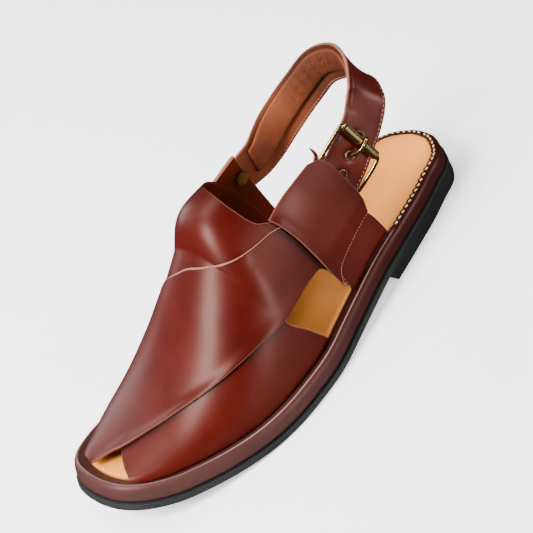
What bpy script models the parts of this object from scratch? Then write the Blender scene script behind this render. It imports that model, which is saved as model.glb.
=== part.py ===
import bpy
import bmesh
import numpy as np
from mathutils import Matrix, Vector

for old in list(bpy.data.objects):
    bpy.data.objects.remove(old, do_unlink=True)

# sizes in metres, left shoe: toe towards -Y, outer side towards +X
soleLength = 0.287
soleWidth = 0.1085
toeSpring = 0.0185
heelLift = 0.0079
springStart = 0.635
springPower = 2.27
waistBack = 0.262
waistFront = 0.555
layerGap = 0.0003
outsoleThickness = 0.005
outsoleBevel = 0.0006
heelInset = 0.0006
heelBreast = 0.296
breastSlant = 0.0045
midsoleThickness = 0.0095
midsoleInset = 0.001
rimRound = 0.0026
rimWidth = 0.0092
recessDepth = 0.0024
insoleThickness = 0.0019
insoleEdge = 0.0004
instepHeight = 0.092
footInset = 0.0088
strapLeather = 0.0019
layerBite = 0.0010
tabLeather = 0.0024
tabLift = 0.0016
tabSkive = 0.0011
medialTabLeather = 0.0022
heelStrapWidth = 0.0245
heelStrapFlare = 0.0022
heelStrapLeather = 0.0022
strapRise = 0.101
padWidth = 0.0215
padThickness = 0.0024
padStart = 0.097
padEnd = 0.66
wireRadius = 0.0012
buckleReach = 0.030
barSetback = 0.0126
eyeletBehindRoller = 0.008
rivetSetback = 0.0072
frameBow = 0.0004
frameCorner = 0.0030
rollerRadius = 0.0028
rollerEndGap = 0.0004
chapeLeather = 0.0009
chapeWidth = 0.017
chapeReach = 0.013
chapeSlot = 0.0044
prongWidth = 0.0022
prongThickness = 0.0015
prongRing = 0.0011
prongLean = 0.2
eyeletBore = 0.0021
eyeletWall = 0.0005
eyeletFlange = 0.0031
eyeletLip = 0.0004
eyeletSpacing = 0.0112
rivetRadius = 0.0040
rivetDome = 0.0012
rivetShank = 0.0014

footbed = outsoleThickness + layerGap + midsoleThickness
lateralOut = strapLeather * 2 - layerBite

# along and across are shares of the length and width
footRows = np.array([
    # along, inner side, outer side
    (0.005, 0.100, 0.077), (0.040, 0.251, 0.200), (0.092, 0.303, 0.250),
    (0.145, 0.327, 0.296), (0.197, 0.330, 0.330), (0.249, 0.324, 0.363),
    (0.319, 0.310, 0.403), (0.371, 0.303, 0.435), (0.441, 0.309, 0.476),
    (0.510, 0.336, 0.519), (0.580, 0.371, 0.541), (0.650, 0.418, 0.547),
    (0.720, 0.452, 0.525), (0.789, 0.452, 0.476), (0.859, 0.422, 0.409),
    (0.911, 0.386, 0.347), (0.963, 0.311, 0.237), (0.990, 0.215, 0.118)])
toeTip = -0.050

sectionRows = np.array([
    # along, height as a share of the instep height, crown lean as a share of the width
    (0.180, 0.900, -0.074), (0.314, 0.905, -0.074), (0.418, 0.925, -0.116),
    (0.455, 0.945, -0.130), (0.512, 0.885, -0.122),
    (0.599, 0.641, -0.083), (0.686, 0.457, -0.046), (0.774, 0.283, -0.028), (0.861, 0.140, -0.009),
    (0.906, 0.095, 0.0), (0.941, 0.052, 0.0), (0.972, 0.012, 0.0), (0.995, 0.008, 0.0)])


def follow(rows, at, tight=False):
    # smooth curve through the rows: cubic pieces with weighted mean slopes, or harmonic ones that never overshoot
    rows = np.asarray(rows, float)
    at = np.asarray(at, float)
    x, y, step = rows[:, 0], rows[:, 1:], np.diff(rows[:, 0])
    rise = np.diff(y, axis=0) / step[:, None]
    inner = (rise[:-1] * step[1:, None] + rise[1:] * step[:-1, None]) / (step[:-1] + step[1:])[:, None]
    if tight:
        same = rise[:-1] * rise[1:] > 0
        inner = np.where(same, 2 * rise[:-1] * rise[1:] / np.where(same, rise[:-1] + rise[1:], 1), 0)
    slope = np.vstack([rise[:1], inner, rise[-1:]])
    i = np.clip(np.searchsorted(x, at, side="right") - 1, 0, len(x) - 2)
    h = step[i][..., None]
    t = ((at - x[i]) / step[i])[..., None]
    return ((2 * t**3 - 3 * t**2 + 1) * y[i] + (t**3 - 2 * t**2 + t) * h * slope[i]
            + (3 * t**2 - 2 * t**3) * y[i + 1] + (t**3 - t**2) * h * slope[i + 1])


def soleRise(u):
    # underside height: toe spring as a power, heel lift as a smooth step
    s = u / soleLength
    toe = toeSpring * np.clip((s - springStart) / (1 - springStart), 0, None) ** springPower
    w = np.clip((waistFront - s) / (waistFront - waistBack), 0, 1)
    return toe + heelLift * w * w * (3 - 2 * w)


def soleFrame(x, u, n):
    # a point x across, u from the heel back, n square off the sole's underside
    grade = (soleRise(u + 1e-4) - soleRise(u - 1e-4)) / 2e-4
    k = 1 / np.sqrt(1 + grade * grade)
    x, u, n, grade, k = np.broadcast_arrays(x, u, n, grade, k)
    return np.stack([x, soleLength / 2 - (u - grade * k * n), soleRise(u) + k * n], -1)


def soleOutline(inset, half=34):
    # closed plan loop through the foot rows, moved inwards by inset; sides come in pairs
    side = footRows * [soleLength, soleWidth, soleWidth]
    ring = [(0.0, 0.0)] + [(r[2], r[0]) for r in side] + [(toeTip * soleWidth, soleLength)]
    ring = np.array(ring + [(-r[1], r[0]) for r in side[::-1]])
    count = len(ring)
    wrapped = np.vstack([ring[-4:], ring, ring[:5]])
    chord = np.sqrt(np.hypot(*np.diff(wrapped, axis=0).T))
    reach = np.concatenate([[0], np.cumsum(chord)])
    rows = np.column_stack([reach, wrapped])
    heel, toe = reach[4], reach[4 + (count // 2)]
    end = reach[4 + count]
    at = np.concatenate([np.linspace(heel, toe, half, endpoint=False), np.linspace(toe, end, half, endpoint=False)])
    fine = np.linspace(heel, end, 1440, endpoint=False)
    path = follow(rows, fine)
    run = np.roll(path, -1, 0) - np.roll(path, 1, 0)
    out = np.stack([run[:, 1], -run[:, 0]], 1)
    out /= np.linalg.norm(out, axis=1)[:, None]
    out *= np.sign(((path - path.mean(0)) * out).sum(1).mean())
    moved = path - out * inset
    at = (at - heel) / (end - heel) * 1440
    low = np.floor(at).astype(int)
    part = (at - low)[:, None]
    return moved[low % 1440] * (1 - part) + moved[(low + 1) % 1440] * part


def crossFaces(first, half):
    # faces over a paired loop of 2 * half points: strips from side to side
    faces = [(first, first + 1, first + 2 * half - 1)]
    for i in range(1, half - 1):
        faces.append((first + i, first + i + 1, first + 2 * half - i - 1, first + 2 * half - i))
    faces.append((first + half - 1, first + half, first + half + 1))
    return faces


def wrapFaces(ringA, ringB, count):
    return [(ringA + i, ringA + (i + 1) % count, ringB + (i + 1) % count, ringB + i) for i in range(count)]


def material(name, colour, rough, metal=0.0):
    mat = bpy.data.materials.new(name)
    mat.use_nodes = True
    shader = mat.node_tree.nodes["Principled BSDF"]
    shader.inputs["Base Color"].default_value = (*colour, 1)
    shader.inputs["Roughness"].default_value = rough
    shader.inputs["Metallic"].default_value = metal
    return mat


leather = material("leather", (0.165, 0.030, 0.018), 0.32)
lining = material("lining", (0.300, 0.090, 0.035), 0.6)
randLeather = material("rand_leather", (0.085, 0.030, 0.028), 0.4)
tan = material("tan", (0.760, 0.440, 0.200), 0.55)
rubber = material("rubber", (0.030, 0.031, 0.030), 0.65)
brass = material("brass", (0.560, 0.430, 0.210), 0.28, 1.0)
darkBrass = material("dark_brass", (0.180, 0.130, 0.060), 0.35, 1.0)


def solid(name, verts, faces, mat, smooth=40):
    mesh = bpy.data.meshes.new(name)
    mesh.from_pydata([tuple(map(float, v)) for v in verts], [], faces)
    form = bmesh.new()
    form.from_mesh(mesh)
    bmesh.ops.recalc_face_normals(form, faces=form.faces)
    form.to_mesh(mesh)
    form.free()
    mesh.materials.append(mat)
    mesh.shade_smooth()
    mesh.set_sharp_from_angle(angle=np.radians(smooth))
    obj = bpy.data.objects.new(name, mesh)
    bpy.context.scene.collection.objects.link(obj)
    return obj


def tool(obj):
    obj.hide_render = True
    obj.display_type = "WIRE"
    return obj


def join(target, other, how):
    cut = target.modifiers.new(how.lower(), "BOOLEAN")
    cut.operation = how
    cut.solver = "EXACT"
    cut.object = tool(other)


def layered(name, rings, mat, half=34):
    # stacked paired loops, each given as (inset, height off the underside), capped at both ends
    verts, faces, count = [], [], 2 * half
    for inset, n in rings:
        loop = soleOutline(inset, half)
        verts.extend(soleFrame(loop[:, 0], loop[:, 1], n))
    for k in range(len(rings) - 1):
        faces += wrapFaces(k * count, (k + 1) * count, count)
    faces += crossFaces(0, half) + crossFaces((len(rings) - 1) * count, half)
    return solid(name, verts, faces, mat)


def makeOutsole():
    top = outsoleThickness
    rings = [(outsoleBevel, 0), (0, outsoleBevel), (0, top - outsoleBevel), (outsoleBevel / 2, top)]
    return layered("outsole", rings, rubber)


def makeHeelBlock(half=16):
    # the block under the seat: flat on the floor, its top follows the outsole
    plan = soleOutline(heelInset, 120)
    outer = plan[:121]
    inner = np.vstack([plan[:1], plan[:119:-1]])
    verts, faces, count = [], [], 2 * half - 1
    levels = [0.0, 0.5, 1.0]
    for level in levels:
        breast = heelBreast * soleLength + breastSlant * level
        u = breast * (1 - np.cos(np.linspace(0, np.pi / 2, half)))
        back = plan[0, 1]
        u = back + (breast - back) * u / breast
        xOut = np.interp(u, outer[:100, 1], outer[:100, 0])
        xIn = np.interp(u, inner[:100, 1], inner[:100, 0])
        x = np.concatenate([xOut, xIn[:0:-1]])
        u = np.concatenate([u, u[:0:-1]])
        z = (soleRise(u) - layerGap) * level
        verts.extend(np.stack([x, soleLength / 2 - u, z], -1))
    for k in range(len(levels) - 1):
        faces += wrapFaces(k * count, (k + 1) * count, count)
    for first in (0, (len(levels) - 1) * count):
        faces.append((first, first + 1, first + count - 1))
        for i in range(1, half - 1):
            faces.append((first + i, first + i + 1, first + count - i - 1, first + count - i))
    return solid("heel_block", verts, faces, rubber)


def makeMidsole():
    # leather covered rand: upright side, rolled top edge, then the recess for the insole
    low = outsoleThickness + layerGap
    rings = [(midsoleInset, low), (midsoleInset, footbed - rimRound)]
    for angle in (25, 50, 75):
        a = np.radians(angle)
        rings.append((midsoleInset + rimRound * (1 - np.cos(a)), footbed - rimRound * (1 - np.sin(a))))
    rings += [(midsoleInset + rimRound, footbed), (rimWidth, footbed), (rimWidth, footbed - recessDepth)]
    return layered("midsole_rand", rings, randLeather)


def makeInsole():
    inset = rimWidth + layerGap
    low = footbed - recessDepth + layerGap
    top = low + insoleThickness
    rings = [(inset, low), (inset, top - insoleEdge), (inset + insoleEdge, top)]
    return layered("insole", rings, tan)


def lastPoint(t, u, offset=0.0):
    # upper surface: t runs 0 to 1 from the inner foot line over the crown to the outer one
    t, u = np.broadcast_arrays(np.asarray(t, float), np.asarray(u, float))

    def place(t, u):
        side = follow(footRows * [soleLength, soleWidth, soleWidth], u)
        form = follow(sectionRows * [soleLength, instepHeight, soleWidth], u)
        inner, outer = footInset - side[..., 0], side[..., 1] - footInset
        c, s = np.cos(np.pi * t), np.sin(np.pi * np.clip(t, 0, 1)) ** 0.8
        x = (inner + outer) / 2 - (outer - inner) / 2 * np.sign(c) * np.abs(c) ** 0.8 + form[..., 1] * s
        return soleFrame(x, u, footbed + layerGap + form[..., 0] * s)

    here = place(t, u)
    tt = np.clip(t, 0.004, 0.996)
    across = place(tt + 0.003, u) - place(tt - 0.003, u)
    along = place(tt, u + 0.001) - place(tt, u - 0.001)
    out = np.cross(along, across)
    foot = (np.minimum(t, 1 - t) < 0.004)
    out[..., 2] = np.where(foot, 0, out[..., 2])
    out /= np.linalg.norm(out, axis=-1)[..., None] + 1e-12
    return here + out * np.asarray(offset)[..., None]


def sheetGrid(front, back, start, end, rows, columns):
    # fill four edge curves given as (t, along) rows into one grid of (t, u)
    def along(curve, at):
        curve = np.asarray(curve, float)
        gap = np.hypot(np.diff(curve[:, 0]) * 1.6, np.diff(curve[:, 1])) + 1e-9
        reach = np.concatenate([[0], np.cumsum(gap)]) / gap.sum()
        return follow(np.column_stack([reach, curve]), at, True)

    s = np.linspace(0, 1, rows)
    s = s * 0.45 + 0.55 * (0.5 - 0.5 * np.cos(np.pi * s))
    r = np.linspace(0, 1, columns)
    f, b, a, e = along(front, s), along(back, s), along(start, r), along(end, r)
    S, R = s[:, None, None], r[None, :, None]
    edges = (1 - R) * f[:, None] + R * b[:, None] + (1 - S) * a[None] + S * e[None]
    corners = (1 - S) * (1 - R) * f[0] + (1 - S) * R * b[0] + S * (1 - R) * f[-1] + S * R * b[-1]
    grid = edges - corners
    return np.clip(grid[..., 0], 0, 1), grid[..., 1] * soleLength


def sheet(name, edges, inner, outer, mat, rows=28, columns=14):
    # leather of even thickness between two offsets from the upper surface
    t, u = sheetGrid(*edges, rows, columns)
    low = lastPoint(t, u, inner(t, u) if callable(inner) else inner).reshape(-1, 3)
    top = lastPoint(t, u, outer(t, u) if callable(outer) else outer).reshape(-1, 3)
    n = rows * columns
    faces = []
    for i in range(rows - 1):
        for j in range(columns - 1):
            a, b = i * columns + j, (i + 1) * columns + j
            faces.append((a, b, b + 1, a + 1))
            faces.append((n + a, n + a + 1, n + b + 1, n + b))
    rim = [(0, j) for j in range(columns)] + [(i, columns - 1) for i in range(1, rows)]
    rim += [(rows - 1, j) for j in range(columns - 2, -1, -1)] + [(i, 0) for i in range(rows - 2, 0, -1)]
    rim = [i * columns + j for i, j in rim]
    for a, b in zip(rim, rim[1:] + rim[:1]):
        faces.append((a, b, n + b, n + a))
    return solid(name, np.vstack([low, top]), faces, mat)


topEdges = (
    # front edge from the inner toe to the outer waist
    [(0.34, 0.974), (0.42, 0.962), (0.48, 0.939), (0.525, 0.909), (0.567, 0.877), (0.615, 0.842), (0.667, 0.801), (0.717, 0.760),
     (0.764, 0.711), (0.803, 0.662), (0.842, 0.610), (0.881, 0.554), (0.912, 0.474), (0.925, 0.400), (1.0, 0.383)],
    # back edge
    [(0.0, 0.632), (0.12, 0.628), (0.24, 0.618), (0.34, 0.608), (0.422, 0.598), (0.472, 0.589), (0.511, 0.578),
     (0.553, 0.571), (0.600, 0.560), (0.656, 0.537), (0.697, 0.516), (0.731, 0.491), (0.757, 0.462),
     (0.778, 0.425), (0.82, 0.388), (0.89, 0.362), (0.925, 0.310), (0.945, 0.266), (1.0, 0.250)],
    [(0.34, 0.974), (0.16, 0.966), (0.05, 0.948), (0.0, 0.915), (0.0, 0.840), (0.0, 0.632)],
    [(1.0, 0.383), (1.0, 0.250)])

underEdges = (
    # front edge from the outer toe to the inner waist
    [(0.93, 0.958), (0.80, 0.955), (0.70, 0.951), (0.617, 0.944), (0.531, 0.930), (0.46, 0.895), (0.37, 0.830),
     (0.26, 0.750), (0.13, 0.680), (0.0, 0.650)],
    # back edge
    [(1.0, 0.491), (0.953, 0.512), (0.894, 0.537), (0.866, 0.515), (0.850, 0.460), (0.836, 0.408), (0.805, 0.381),
     (0.770, 0.384), (0.746, 0.399), (0.720, 0.413), (0.672, 0.418), (0.614, 0.418), (0.561, 0.415), (0.510, 0.411), (0.44, 0.401),
     (0.34, 0.380), (0.22, 0.357), (0.10, 0.345), (0.0, 0.340)],
    [(0.93, 0.958), (1.0, 0.935), (1.0, 0.700), (1.0, 0.491)],
    [(0.0, 0.650), (0.0, 0.340)])

tabEdges = (
    # front edge from the crown down
    [(0.742, 0.397), (0.789, 0.392), (0.844, 0.390), (0.917, 0.392), (0.985, 0.393)],
    # back edge
    [(0.735, 0.292), (0.758, 0.274), (0.789, 0.268), (0.842, 0.265), (0.897, 0.262), (0.946, 0.265)],
    [(0.742, 0.397), (0.732, 0.345), (0.735, 0.292)],
    [(0.985, 0.393), (0.963, 0.372), (0.957, 0.345), (0.952, 0.310), (0.946, 0.265)])

medialEdges = (
    [(0.0, 0.500), (0.10, 0.478), (0.19, 0.440), (0.26, 0.400), (0.278, 0.388)],
    [(0.0, 0.316), (0.10, 0.317), (0.20, 0.318), (0.30, 0.321)],
    [(0.0, 0.500), (0.0, 0.316)],
    [(0.278, 0.388), (0.292, 0.352), (0.30, 0.321)])


def makeUpper():
    # the two crossing straps, joined where the upper one lies on the lower one
    under = sheet("under_strap", underEdges, 0.0, strapLeather, leather, 27, 17)
    top = sheet("upper", topEdges, strapLeather - layerBite, lateralOut, leather, 31, 17)
    join(top, under, "UNION")
    return top


def tabInner(t, u):
    # the tab rises a little over the strap end and the buckle bar
    s = np.clip((0.385 - u / soleLength) / 0.07, 0, 1)
    w = np.clip((0.955 - t) / 0.04, 0, 1)
    return lateralOut + layerGap + tabLift * s * s * (3 - 2 * s) * w


def tabOuter(t, u):
    # full thickness, thinned towards the seam at the lower end
    w = np.clip((t - 0.905) / 0.05, 0, 1)
    return tabInner(t, u) + tabLeather - (tabLeather - tabSkive) * w * w * (3 - 2 * w)


def makeTabs():
    sheet("buckle_tab", tabEdges, tabInner, tabOuter, leather, 14, 12)
    low = strapLeather + layerGap
    return sheet("medial_tab", medialEdges, low, low + medialTabLeather, leather, 14, 10)


def unit(v):
    return v / np.linalg.norm(v, axis=-1, keepdims=True)


innerEnd = (0.185, 0.352)
innerMid = (0.185, 0.314)
outerEnd = (0.845, 0.320)
outerMid = (0.845, 0.268)
strapRows = np.array([
    # across and along as shares, height as a share of the strap rise, band direction downwards
    (-0.293, 0.295, 0.733, 0.04, 0.00, -0.99),
    (-0.272, 0.219, 0.812, 0.38, 0.09, -0.92), (-0.210, 0.149, 0.905, 0.42, 0.09, -0.90),
    (-0.118, 0.103, 0.988, 0.37, 0.04, -0.93), (-0.009, 0.085, 1.000, 0.34, -0.05, -0.94),
    (0.093, 0.089, 0.972, 0.36, -0.14, -0.92), (0.176, 0.111, 0.906, 0.36, -0.16, -0.92),
    (0.217, 0.153, 0.820, 0.32, -0.13, -0.94), (0.246, 0.208, 0.765, 0.29, -0.07, -0.95)])


def strapPath():
    # centre line and downward direction of the heel strap from the rivet round to the buckle
    low = strapLeather + layerGap + medialTabLeather + layerGap + heelStrapLeather / 2
    seat = lateralOut - layerGap - heelStrapLeather / 2

    def onLast(spot, offset, sign):
        t, u = spot[0], spot[1] * soleLength
        point = lastPoint(t, u, offset)
        down = unit(lastPoint(t + 0.03, u, offset) - lastPoint(t - 0.03, u, offset)) * sign
        return point, down

    points, downs = [], []
    for spot in (innerEnd, innerMid):
        point, down = onLast(spot, low, -1)
        points.append(point)
        downs.append(down)
    for x, u, z, dx, du, dz in strapRows:
        points.append((x * soleWidth, soleLength * (0.5 - u), z * strapRise))
        downs.append((dx, -du, dz))
    for spot in (outerMid, outerEnd):
        point, down = onLast(spot, seat, 1)
        points.append(point)
        downs.append(down)
    points, downs = np.array(points), np.array(downs)
    reach = np.concatenate([[0], np.cumsum(np.linalg.norm(np.diff(points, axis=0), axis=1))])
    return np.column_stack([reach, points, downs])


strapLine = strapPath()
strapLength = strapLine[-1, 0]
strapStations = np.linspace(0, strapLength, 64)
strapStep = strapStations[1]


def strapFrame(s):
    # position, run, down and outward directions of the strap at a distance along it
    s = np.asarray(s, float)
    here = follow(strapLine, s)
    run = unit(follow(strapLine, s + 0.0005)[..., :3] - follow(strapLine, s - 0.0005)[..., :3])
    down = here[..., 3:]
    down = unit(down - (down * run).sum(-1, keepdims=True) * run)
    return here[..., :3], run, down, np.cross(run, down)


flip = 1.0
middle = strapFrame(strapLength / 2)
if (middle[3] @ np.array([0, 1.0, 0])) < 0:
    flip = -1.0


def band(name, s, width, low, high, mat, taper=None):
    # strip with rounded long edges along the strap, between two distances off its centre
    place, run, down, out = strapFrame(s)
    out = out * flip
    half = np.full(len(s), width / 2) if taper is None else taper
    mid, thick = (low + high) / 2, (high - low) / 2
    soft = min(0.0007, thick * 0.8)
    shape = [(-1, 0, 1), (-1, 1, 0.5), (0, 1, 0), (1, 1, 0.5), (1, 0, 1), (1, -1, 0.5), (0, -1, 0), (-1, -1, 0.5)]
    verts, faces = [], []
    ring = []
    for side, face, _ in shape:
        if side == 0:
            ring.append((0.0, face * thick, 0.0))
        elif face == 0:
            ring.append((side, 0.0, 0.0))
        else:
            ring.append((side, face * thick, soft))
    for side, height, back in ring:
        verts.append(place + down * (side * (half - back) if side else 0 * half)[:, None] + out * (mid + height))
    verts = np.stack(verts, 1).reshape(-1, 3)
    # every quad is split on the same diagonal, so that stacked bands stay parallel where they twist
    count = len(ring)
    for i in range(len(s) - 1):
        for k, (a, b, c, d) in enumerate(wrapFaces(i * count, (i + 1) * count, count)):
            faces += [(a, b, c), (a, c, d)] if k < count // 2 else [(a, b, d), (b, c, d)]
    last = (len(s) - 1) * count
    faces += [tuple(range(count)), tuple(last + i for i in range(count))]
    return solid(name, verts, faces, mat)


def lathe(name, profile, origin, axis, mat, sides=24):
    # turn (radius, height) points about an axis through origin; closed when it has no zero radius
    axis = Vector(tuple(map(float, axis))).normalized()
    turn = axis.to_track_quat("Z", "Y").to_matrix().to_4x4()
    place = Matrix.Translation(Vector(tuple(map(float, origin)))) @ turn
    verts, faces, rings = [], [], []
    for r, h in profile:
        if r < 1e-9:
            rings.append([len(verts)])
            verts.append(place @ Vector((0, 0, h)))
        else:
            rings.append(list(range(len(verts), len(verts) + sides)))
            for k in range(sides):
                a = 2 * np.pi * k / sides
                verts.append(place @ Vector((r * np.cos(a), r * np.sin(a), h)))
    pairs = list(zip(rings, rings[1:]))
    if len(rings[0]) > 1:
        pairs.append((rings[-1], rings[0]))
    for a, b in pairs:
        for k in range(sides):
            n = (k + 1) % sides
            if len(a) == 1:
                faces.append((a[0], b[k], b[n]))
            elif len(b) == 1:
                faces.append((a[k], a[n], b[0]))
            else:
                faces.append((a[k], a[n], b[n], b[k]))
    return solid(name, verts, faces, mat)


barSpot = strapLength - barSetback
rollerSpot = barSpot - buckleReach
rollerHalf = heelStrapWidth / 2 + wireRadius


def buckleFrame():
    # local frame of the buckle: forward from bar to roller, down across, out off the strap
    barPlace, _, barDown, barOut = strapFrame(barSpot)
    rollPlace, _, rollDown, rollOut = strapFrame(rollerSpot)
    barOut, rollOut = barOut * flip, rollOut * flip
    bar = barPlace - barOut * (heelStrapLeather / 2 + eyeletLip + layerGap + chapeLeather + layerGap + wireRadius)
    roll = rollPlace + rollOut * (heelStrapLeather / 2 + eyeletLip + layerGap * 2 + rollerRadius)
    return bar, barDown, barOut, roll, rollDown, rollOut


def strapHalf(s):
    # half width, a little more towards both ends
    return heelStrapWidth / 2 + heelStrapFlare / 2 * (2 * s / strapLength - 1) ** 2


def makeHeelStrap():
    s = strapStations
    half = strapHalf(s)
    # rounded ends
    for end in (s, strapLength - s):
        near = np.clip(end / (heelStrapWidth * 0.3), 0, 1)
        half = np.minimum(half, strapHalf(s) * (0.62 + 0.38 * np.sqrt(1 - (1 - near) ** 2)))
    strap = band("heel_strap", s, heelStrapWidth, -heelStrapLeather / 2, heelStrapLeather / 2, leather, half)
    # holes for the eyelets
    for k, spot in enumerate(eyeletSpots()):
        place, _, _, out = strapFrame(spot)
        r = eyeletBore + eyeletWall + layerGap
        cutter = lathe("eyelet_cut_%d" % k, [(0, -0.01), (r, -0.01), (r, 0.01), (0, 0.01)], place, out, leather, 16)
        join(strap, cutter, "DIFFERENCE")
    return strap


def eyeletSpots():
    first = rollerSpot + eyeletBehindRoller
    return [first + eyeletSpacing, first, first - eyeletSpacing]


def makeEyelets():
    names = ("eyelet_front", "eyelet_middle", "eyelet_back")
    for name, spot in zip(names, eyeletSpots()):
        place, _, _, out = strapFrame(spot)
        face = heelStrapLeather / 2 + layerGap
        r0, r1, r2 = eyeletBore, eyeletBore + eyeletWall, eyeletFlange
        profile = [(r0, -face - eyeletLip), (r2, -face - eyeletLip), (r2, -face), (r1, -face),
                   (r1, face), (r2, face), (r2, face + eyeletLip), (r0, face + eyeletLip)]
        lathe(name, profile, place, out * flip, darkBrass, 12)


def makePad():
    # the same stations as the strap, so that the two faces stay parallel
    first, last = strapLength * padStart, strapLength * padEnd
    inside = (strapStations > first + strapStep / 3) & (strapStations < last - strapStep / 3)
    s = np.concatenate([[first], strapStations[inside], [last]])
    inner = -heelStrapLeather / 2 - layerGap
    return band("strap_pad", s, padWidth, inner - padThickness, inner, lining)


def makeRivet(strap, tab):
    spot = rivetSetback
    place, _, _, out = strapFrame(spot)
    out = out * flip
    clear = rivetShank + layerGap
    for k, target in enumerate((strap, tab)):
        cutter = lathe("rivet_cut_%d" % k, [(0, -0.012), (clear, -0.012), (clear, 0.012), (0, 0.012)],
                       place, out, leather, 16)
        join(target, cutter, "DIFFERENCE")
    # the inner head stands clear of the curved tab, the outer cap of the strap
    outer = heelStrapLeather / 2 + layerGap
    inner = -heelStrapLeather / 2 - layerGap - medialTabLeather - layerGap * 2.5
    profile = [(0, inner - rivetDome), (rivetRadius * 0.55, inner - rivetDome * 0.86),
               (rivetRadius * 0.87, inner - rivetDome * 0.5), (rivetRadius, inner - 0.0003), (rivetRadius, inner),
               (rivetShank, inner), (rivetShank, outer), (rivetRadius * 0.8, outer),
               (rivetRadius * 0.8, outer + 0.0004), (rivetRadius * 0.5, outer + 0.0009), (0, outer + 0.0011)]
    return lathe("strap_rivet", profile, place, out, darkBrass, 20)


def tube(name, path, radius, mat, sides=10):
    # round wire along a closed loop of points
    path = np.asarray(path, float)
    count = len(path)
    run = unit(np.roll(path, -1, 0) - np.roll(path, 1, 0))
    centre = path.mean(0)
    normal = unit(np.cross(path[0] - centre, path[count // 4] - centre))
    side = unit(np.cross(run, normal))
    up = np.cross(side, run)
    verts, faces = [], []
    for i in range(count):
        for k in range(sides):
            a = 2 * np.pi * k / sides
            verts.append(path[i] + radius * (np.cos(a) * side[i] + np.sin(a) * up[i]))
    for i in range(count):
        for k in range(sides):
            n, j = (k + 1) % sides, (i + 1) % count
            faces.append((i * sides + k, i * sides + n, j * sides + n, j * sides + k))
    return solid(name, verts, faces, mat, 60)


def slab(name, near, far, place, width, mat):
    # a bent strip: two matching edge lines in a side plane, widened across it
    origin, along, out, across = place
    poly = np.vstack([near, far[::-1]])
    verts = [origin + along * x + out * n + across * w for w in (-width / 2, width / 2) for x, n in poly]
    count, half = len(poly), len(near)
    faces = wrapFaces(0, count, count)
    for first in (0, count):
        faces += [(first + i, first + i + 1, first + count - i - 2, first + count - i - 1) for i in range(half - 1)]
    return solid(name, verts, faces, mat)


def makeFrame():
    # wire frame: its sides bend with the strap from the bar to the roller
    bar, barDown, barOut, roll, rollDown, rollOut = buckleFrame()
    halfWidth = strapHalf(barSpot) + layerGap * 2 + wireRadius + frameBow
    barLevel, rollLevel = (bar - strapFrame(barSpot)[0]) @ barOut, (roll - strapFrame(rollerSpot)[0]) @ rollOut
    sides = []
    for share in (0.0, 0.35, 0.70):
        place, _, down, out = strapFrame(barSpot + (rollerSpot - barSpot) * share)
        level = barLevel + (rollLevel - barLevel) * share
        sides.append((place + out * flip * level, down * halfWidth))
    sides.append((roll, rollDown * rollerHalf))
    corners = [point + across for point, across in sides] + [point - across for point, across in sides[::-1]]
    path = []
    for k in range(len(corners)):
        here, before, after = corners[k], corners[k - 1], corners[(k + 1) % len(corners)]
        a = here + unit(before - here) * frameCorner
        b = here + unit(after - here) * frameCorner
        for w in np.linspace(0, 1, 5):
            path.append((1 - w) ** 2 * a + 2 * w * (1 - w) * here + w * w * b)
    tube("buckle_frame", path, wireRadius, brass, 8)


def makeRoller():
    _, _, _, roll, rollDown, _ = buckleFrame()
    reach = rollerHalf - frameCorner - rollerEndGap
    bore = wireRadius + layerGap
    lathe("buckle_roller", [(bore, -reach), (rollerRadius, -reach), (rollerRadius, reach), (bore, reach)],
          roll, rollDown, brass, 12)


def makeProng():
    # the prong hooks round the bar, comes up through the middle eyelet and lies on the roller
    bar, barDown, out, roll, rollDown, _ = buckleFrame()
    holePlace, _, _, holeOut = strapFrame(eyeletSpots()[1])
    hole, holeOut = holePlace - bar, holeOut * flip
    along = unit(hole - (hole @ out) * out)
    across = np.cross(along, out)
    across = across * np.sign(across @ barDown)
    over = roll - rollDown * (((roll - bar) @ across) / (rollDown @ across)) - bar
    holeX, holeN, rollX, rollN = hole @ along, hole @ out, over @ along, over @ out
    seat = rollN + rollerRadius + layerGap * 2 + prongThickness / 2
    hook = wireRadius + layerGap
    leanX, leanN = unit(np.array([holeOut @ along + prongLean, holeOut @ out])) * (heelStrapLeather / 2 + eyeletLip)
    line = [(hook + layerGap, 0.0), (hook * 2, prongRing * 0.2), (holeX - leanX * 3 - hook, holeN - leanN * 2.2),
            (holeX - leanX * 1.4, holeN - leanN * 1.4), (holeX, holeN), (holeX + leanX * 1.4, holeN + leanN * 1.4),
            (rollX - rollerRadius * 1.5, seat - prongThickness * 0.6), (rollX - rollerRadius * 0.5, seat),
            (rollX + rollerRadius * 0.4, seat), (rollX + rollerRadius * 1.2, seat - prongThickness * 0.4)]
    line = np.array(line)
    reach = np.concatenate([[0], np.cumsum(np.hypot(*np.diff(line, axis=0).T))])
    body = follow(np.column_stack([reach, line]), np.linspace(0, reach[-1], 22), True)
    run = unit(np.gradient(body, axis=0))
    side = np.stack([-run[:, 1], run[:, 0]], 1) * prongThickness / 2
    prong = slab("buckle_prong", body + side, body - side, (bar, along, out, across), prongWidth, brass)
    rim = hook + prongRing
    ring = lathe("prong_ring_tool", [(hook, -prongWidth / 2), (rim, -prongWidth / 2), (rim, prongWidth / 2),
                                     (hook, prongWidth / 2)], bar, barDown, brass, 20)
    join(prong, ring, "UNION")


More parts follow.
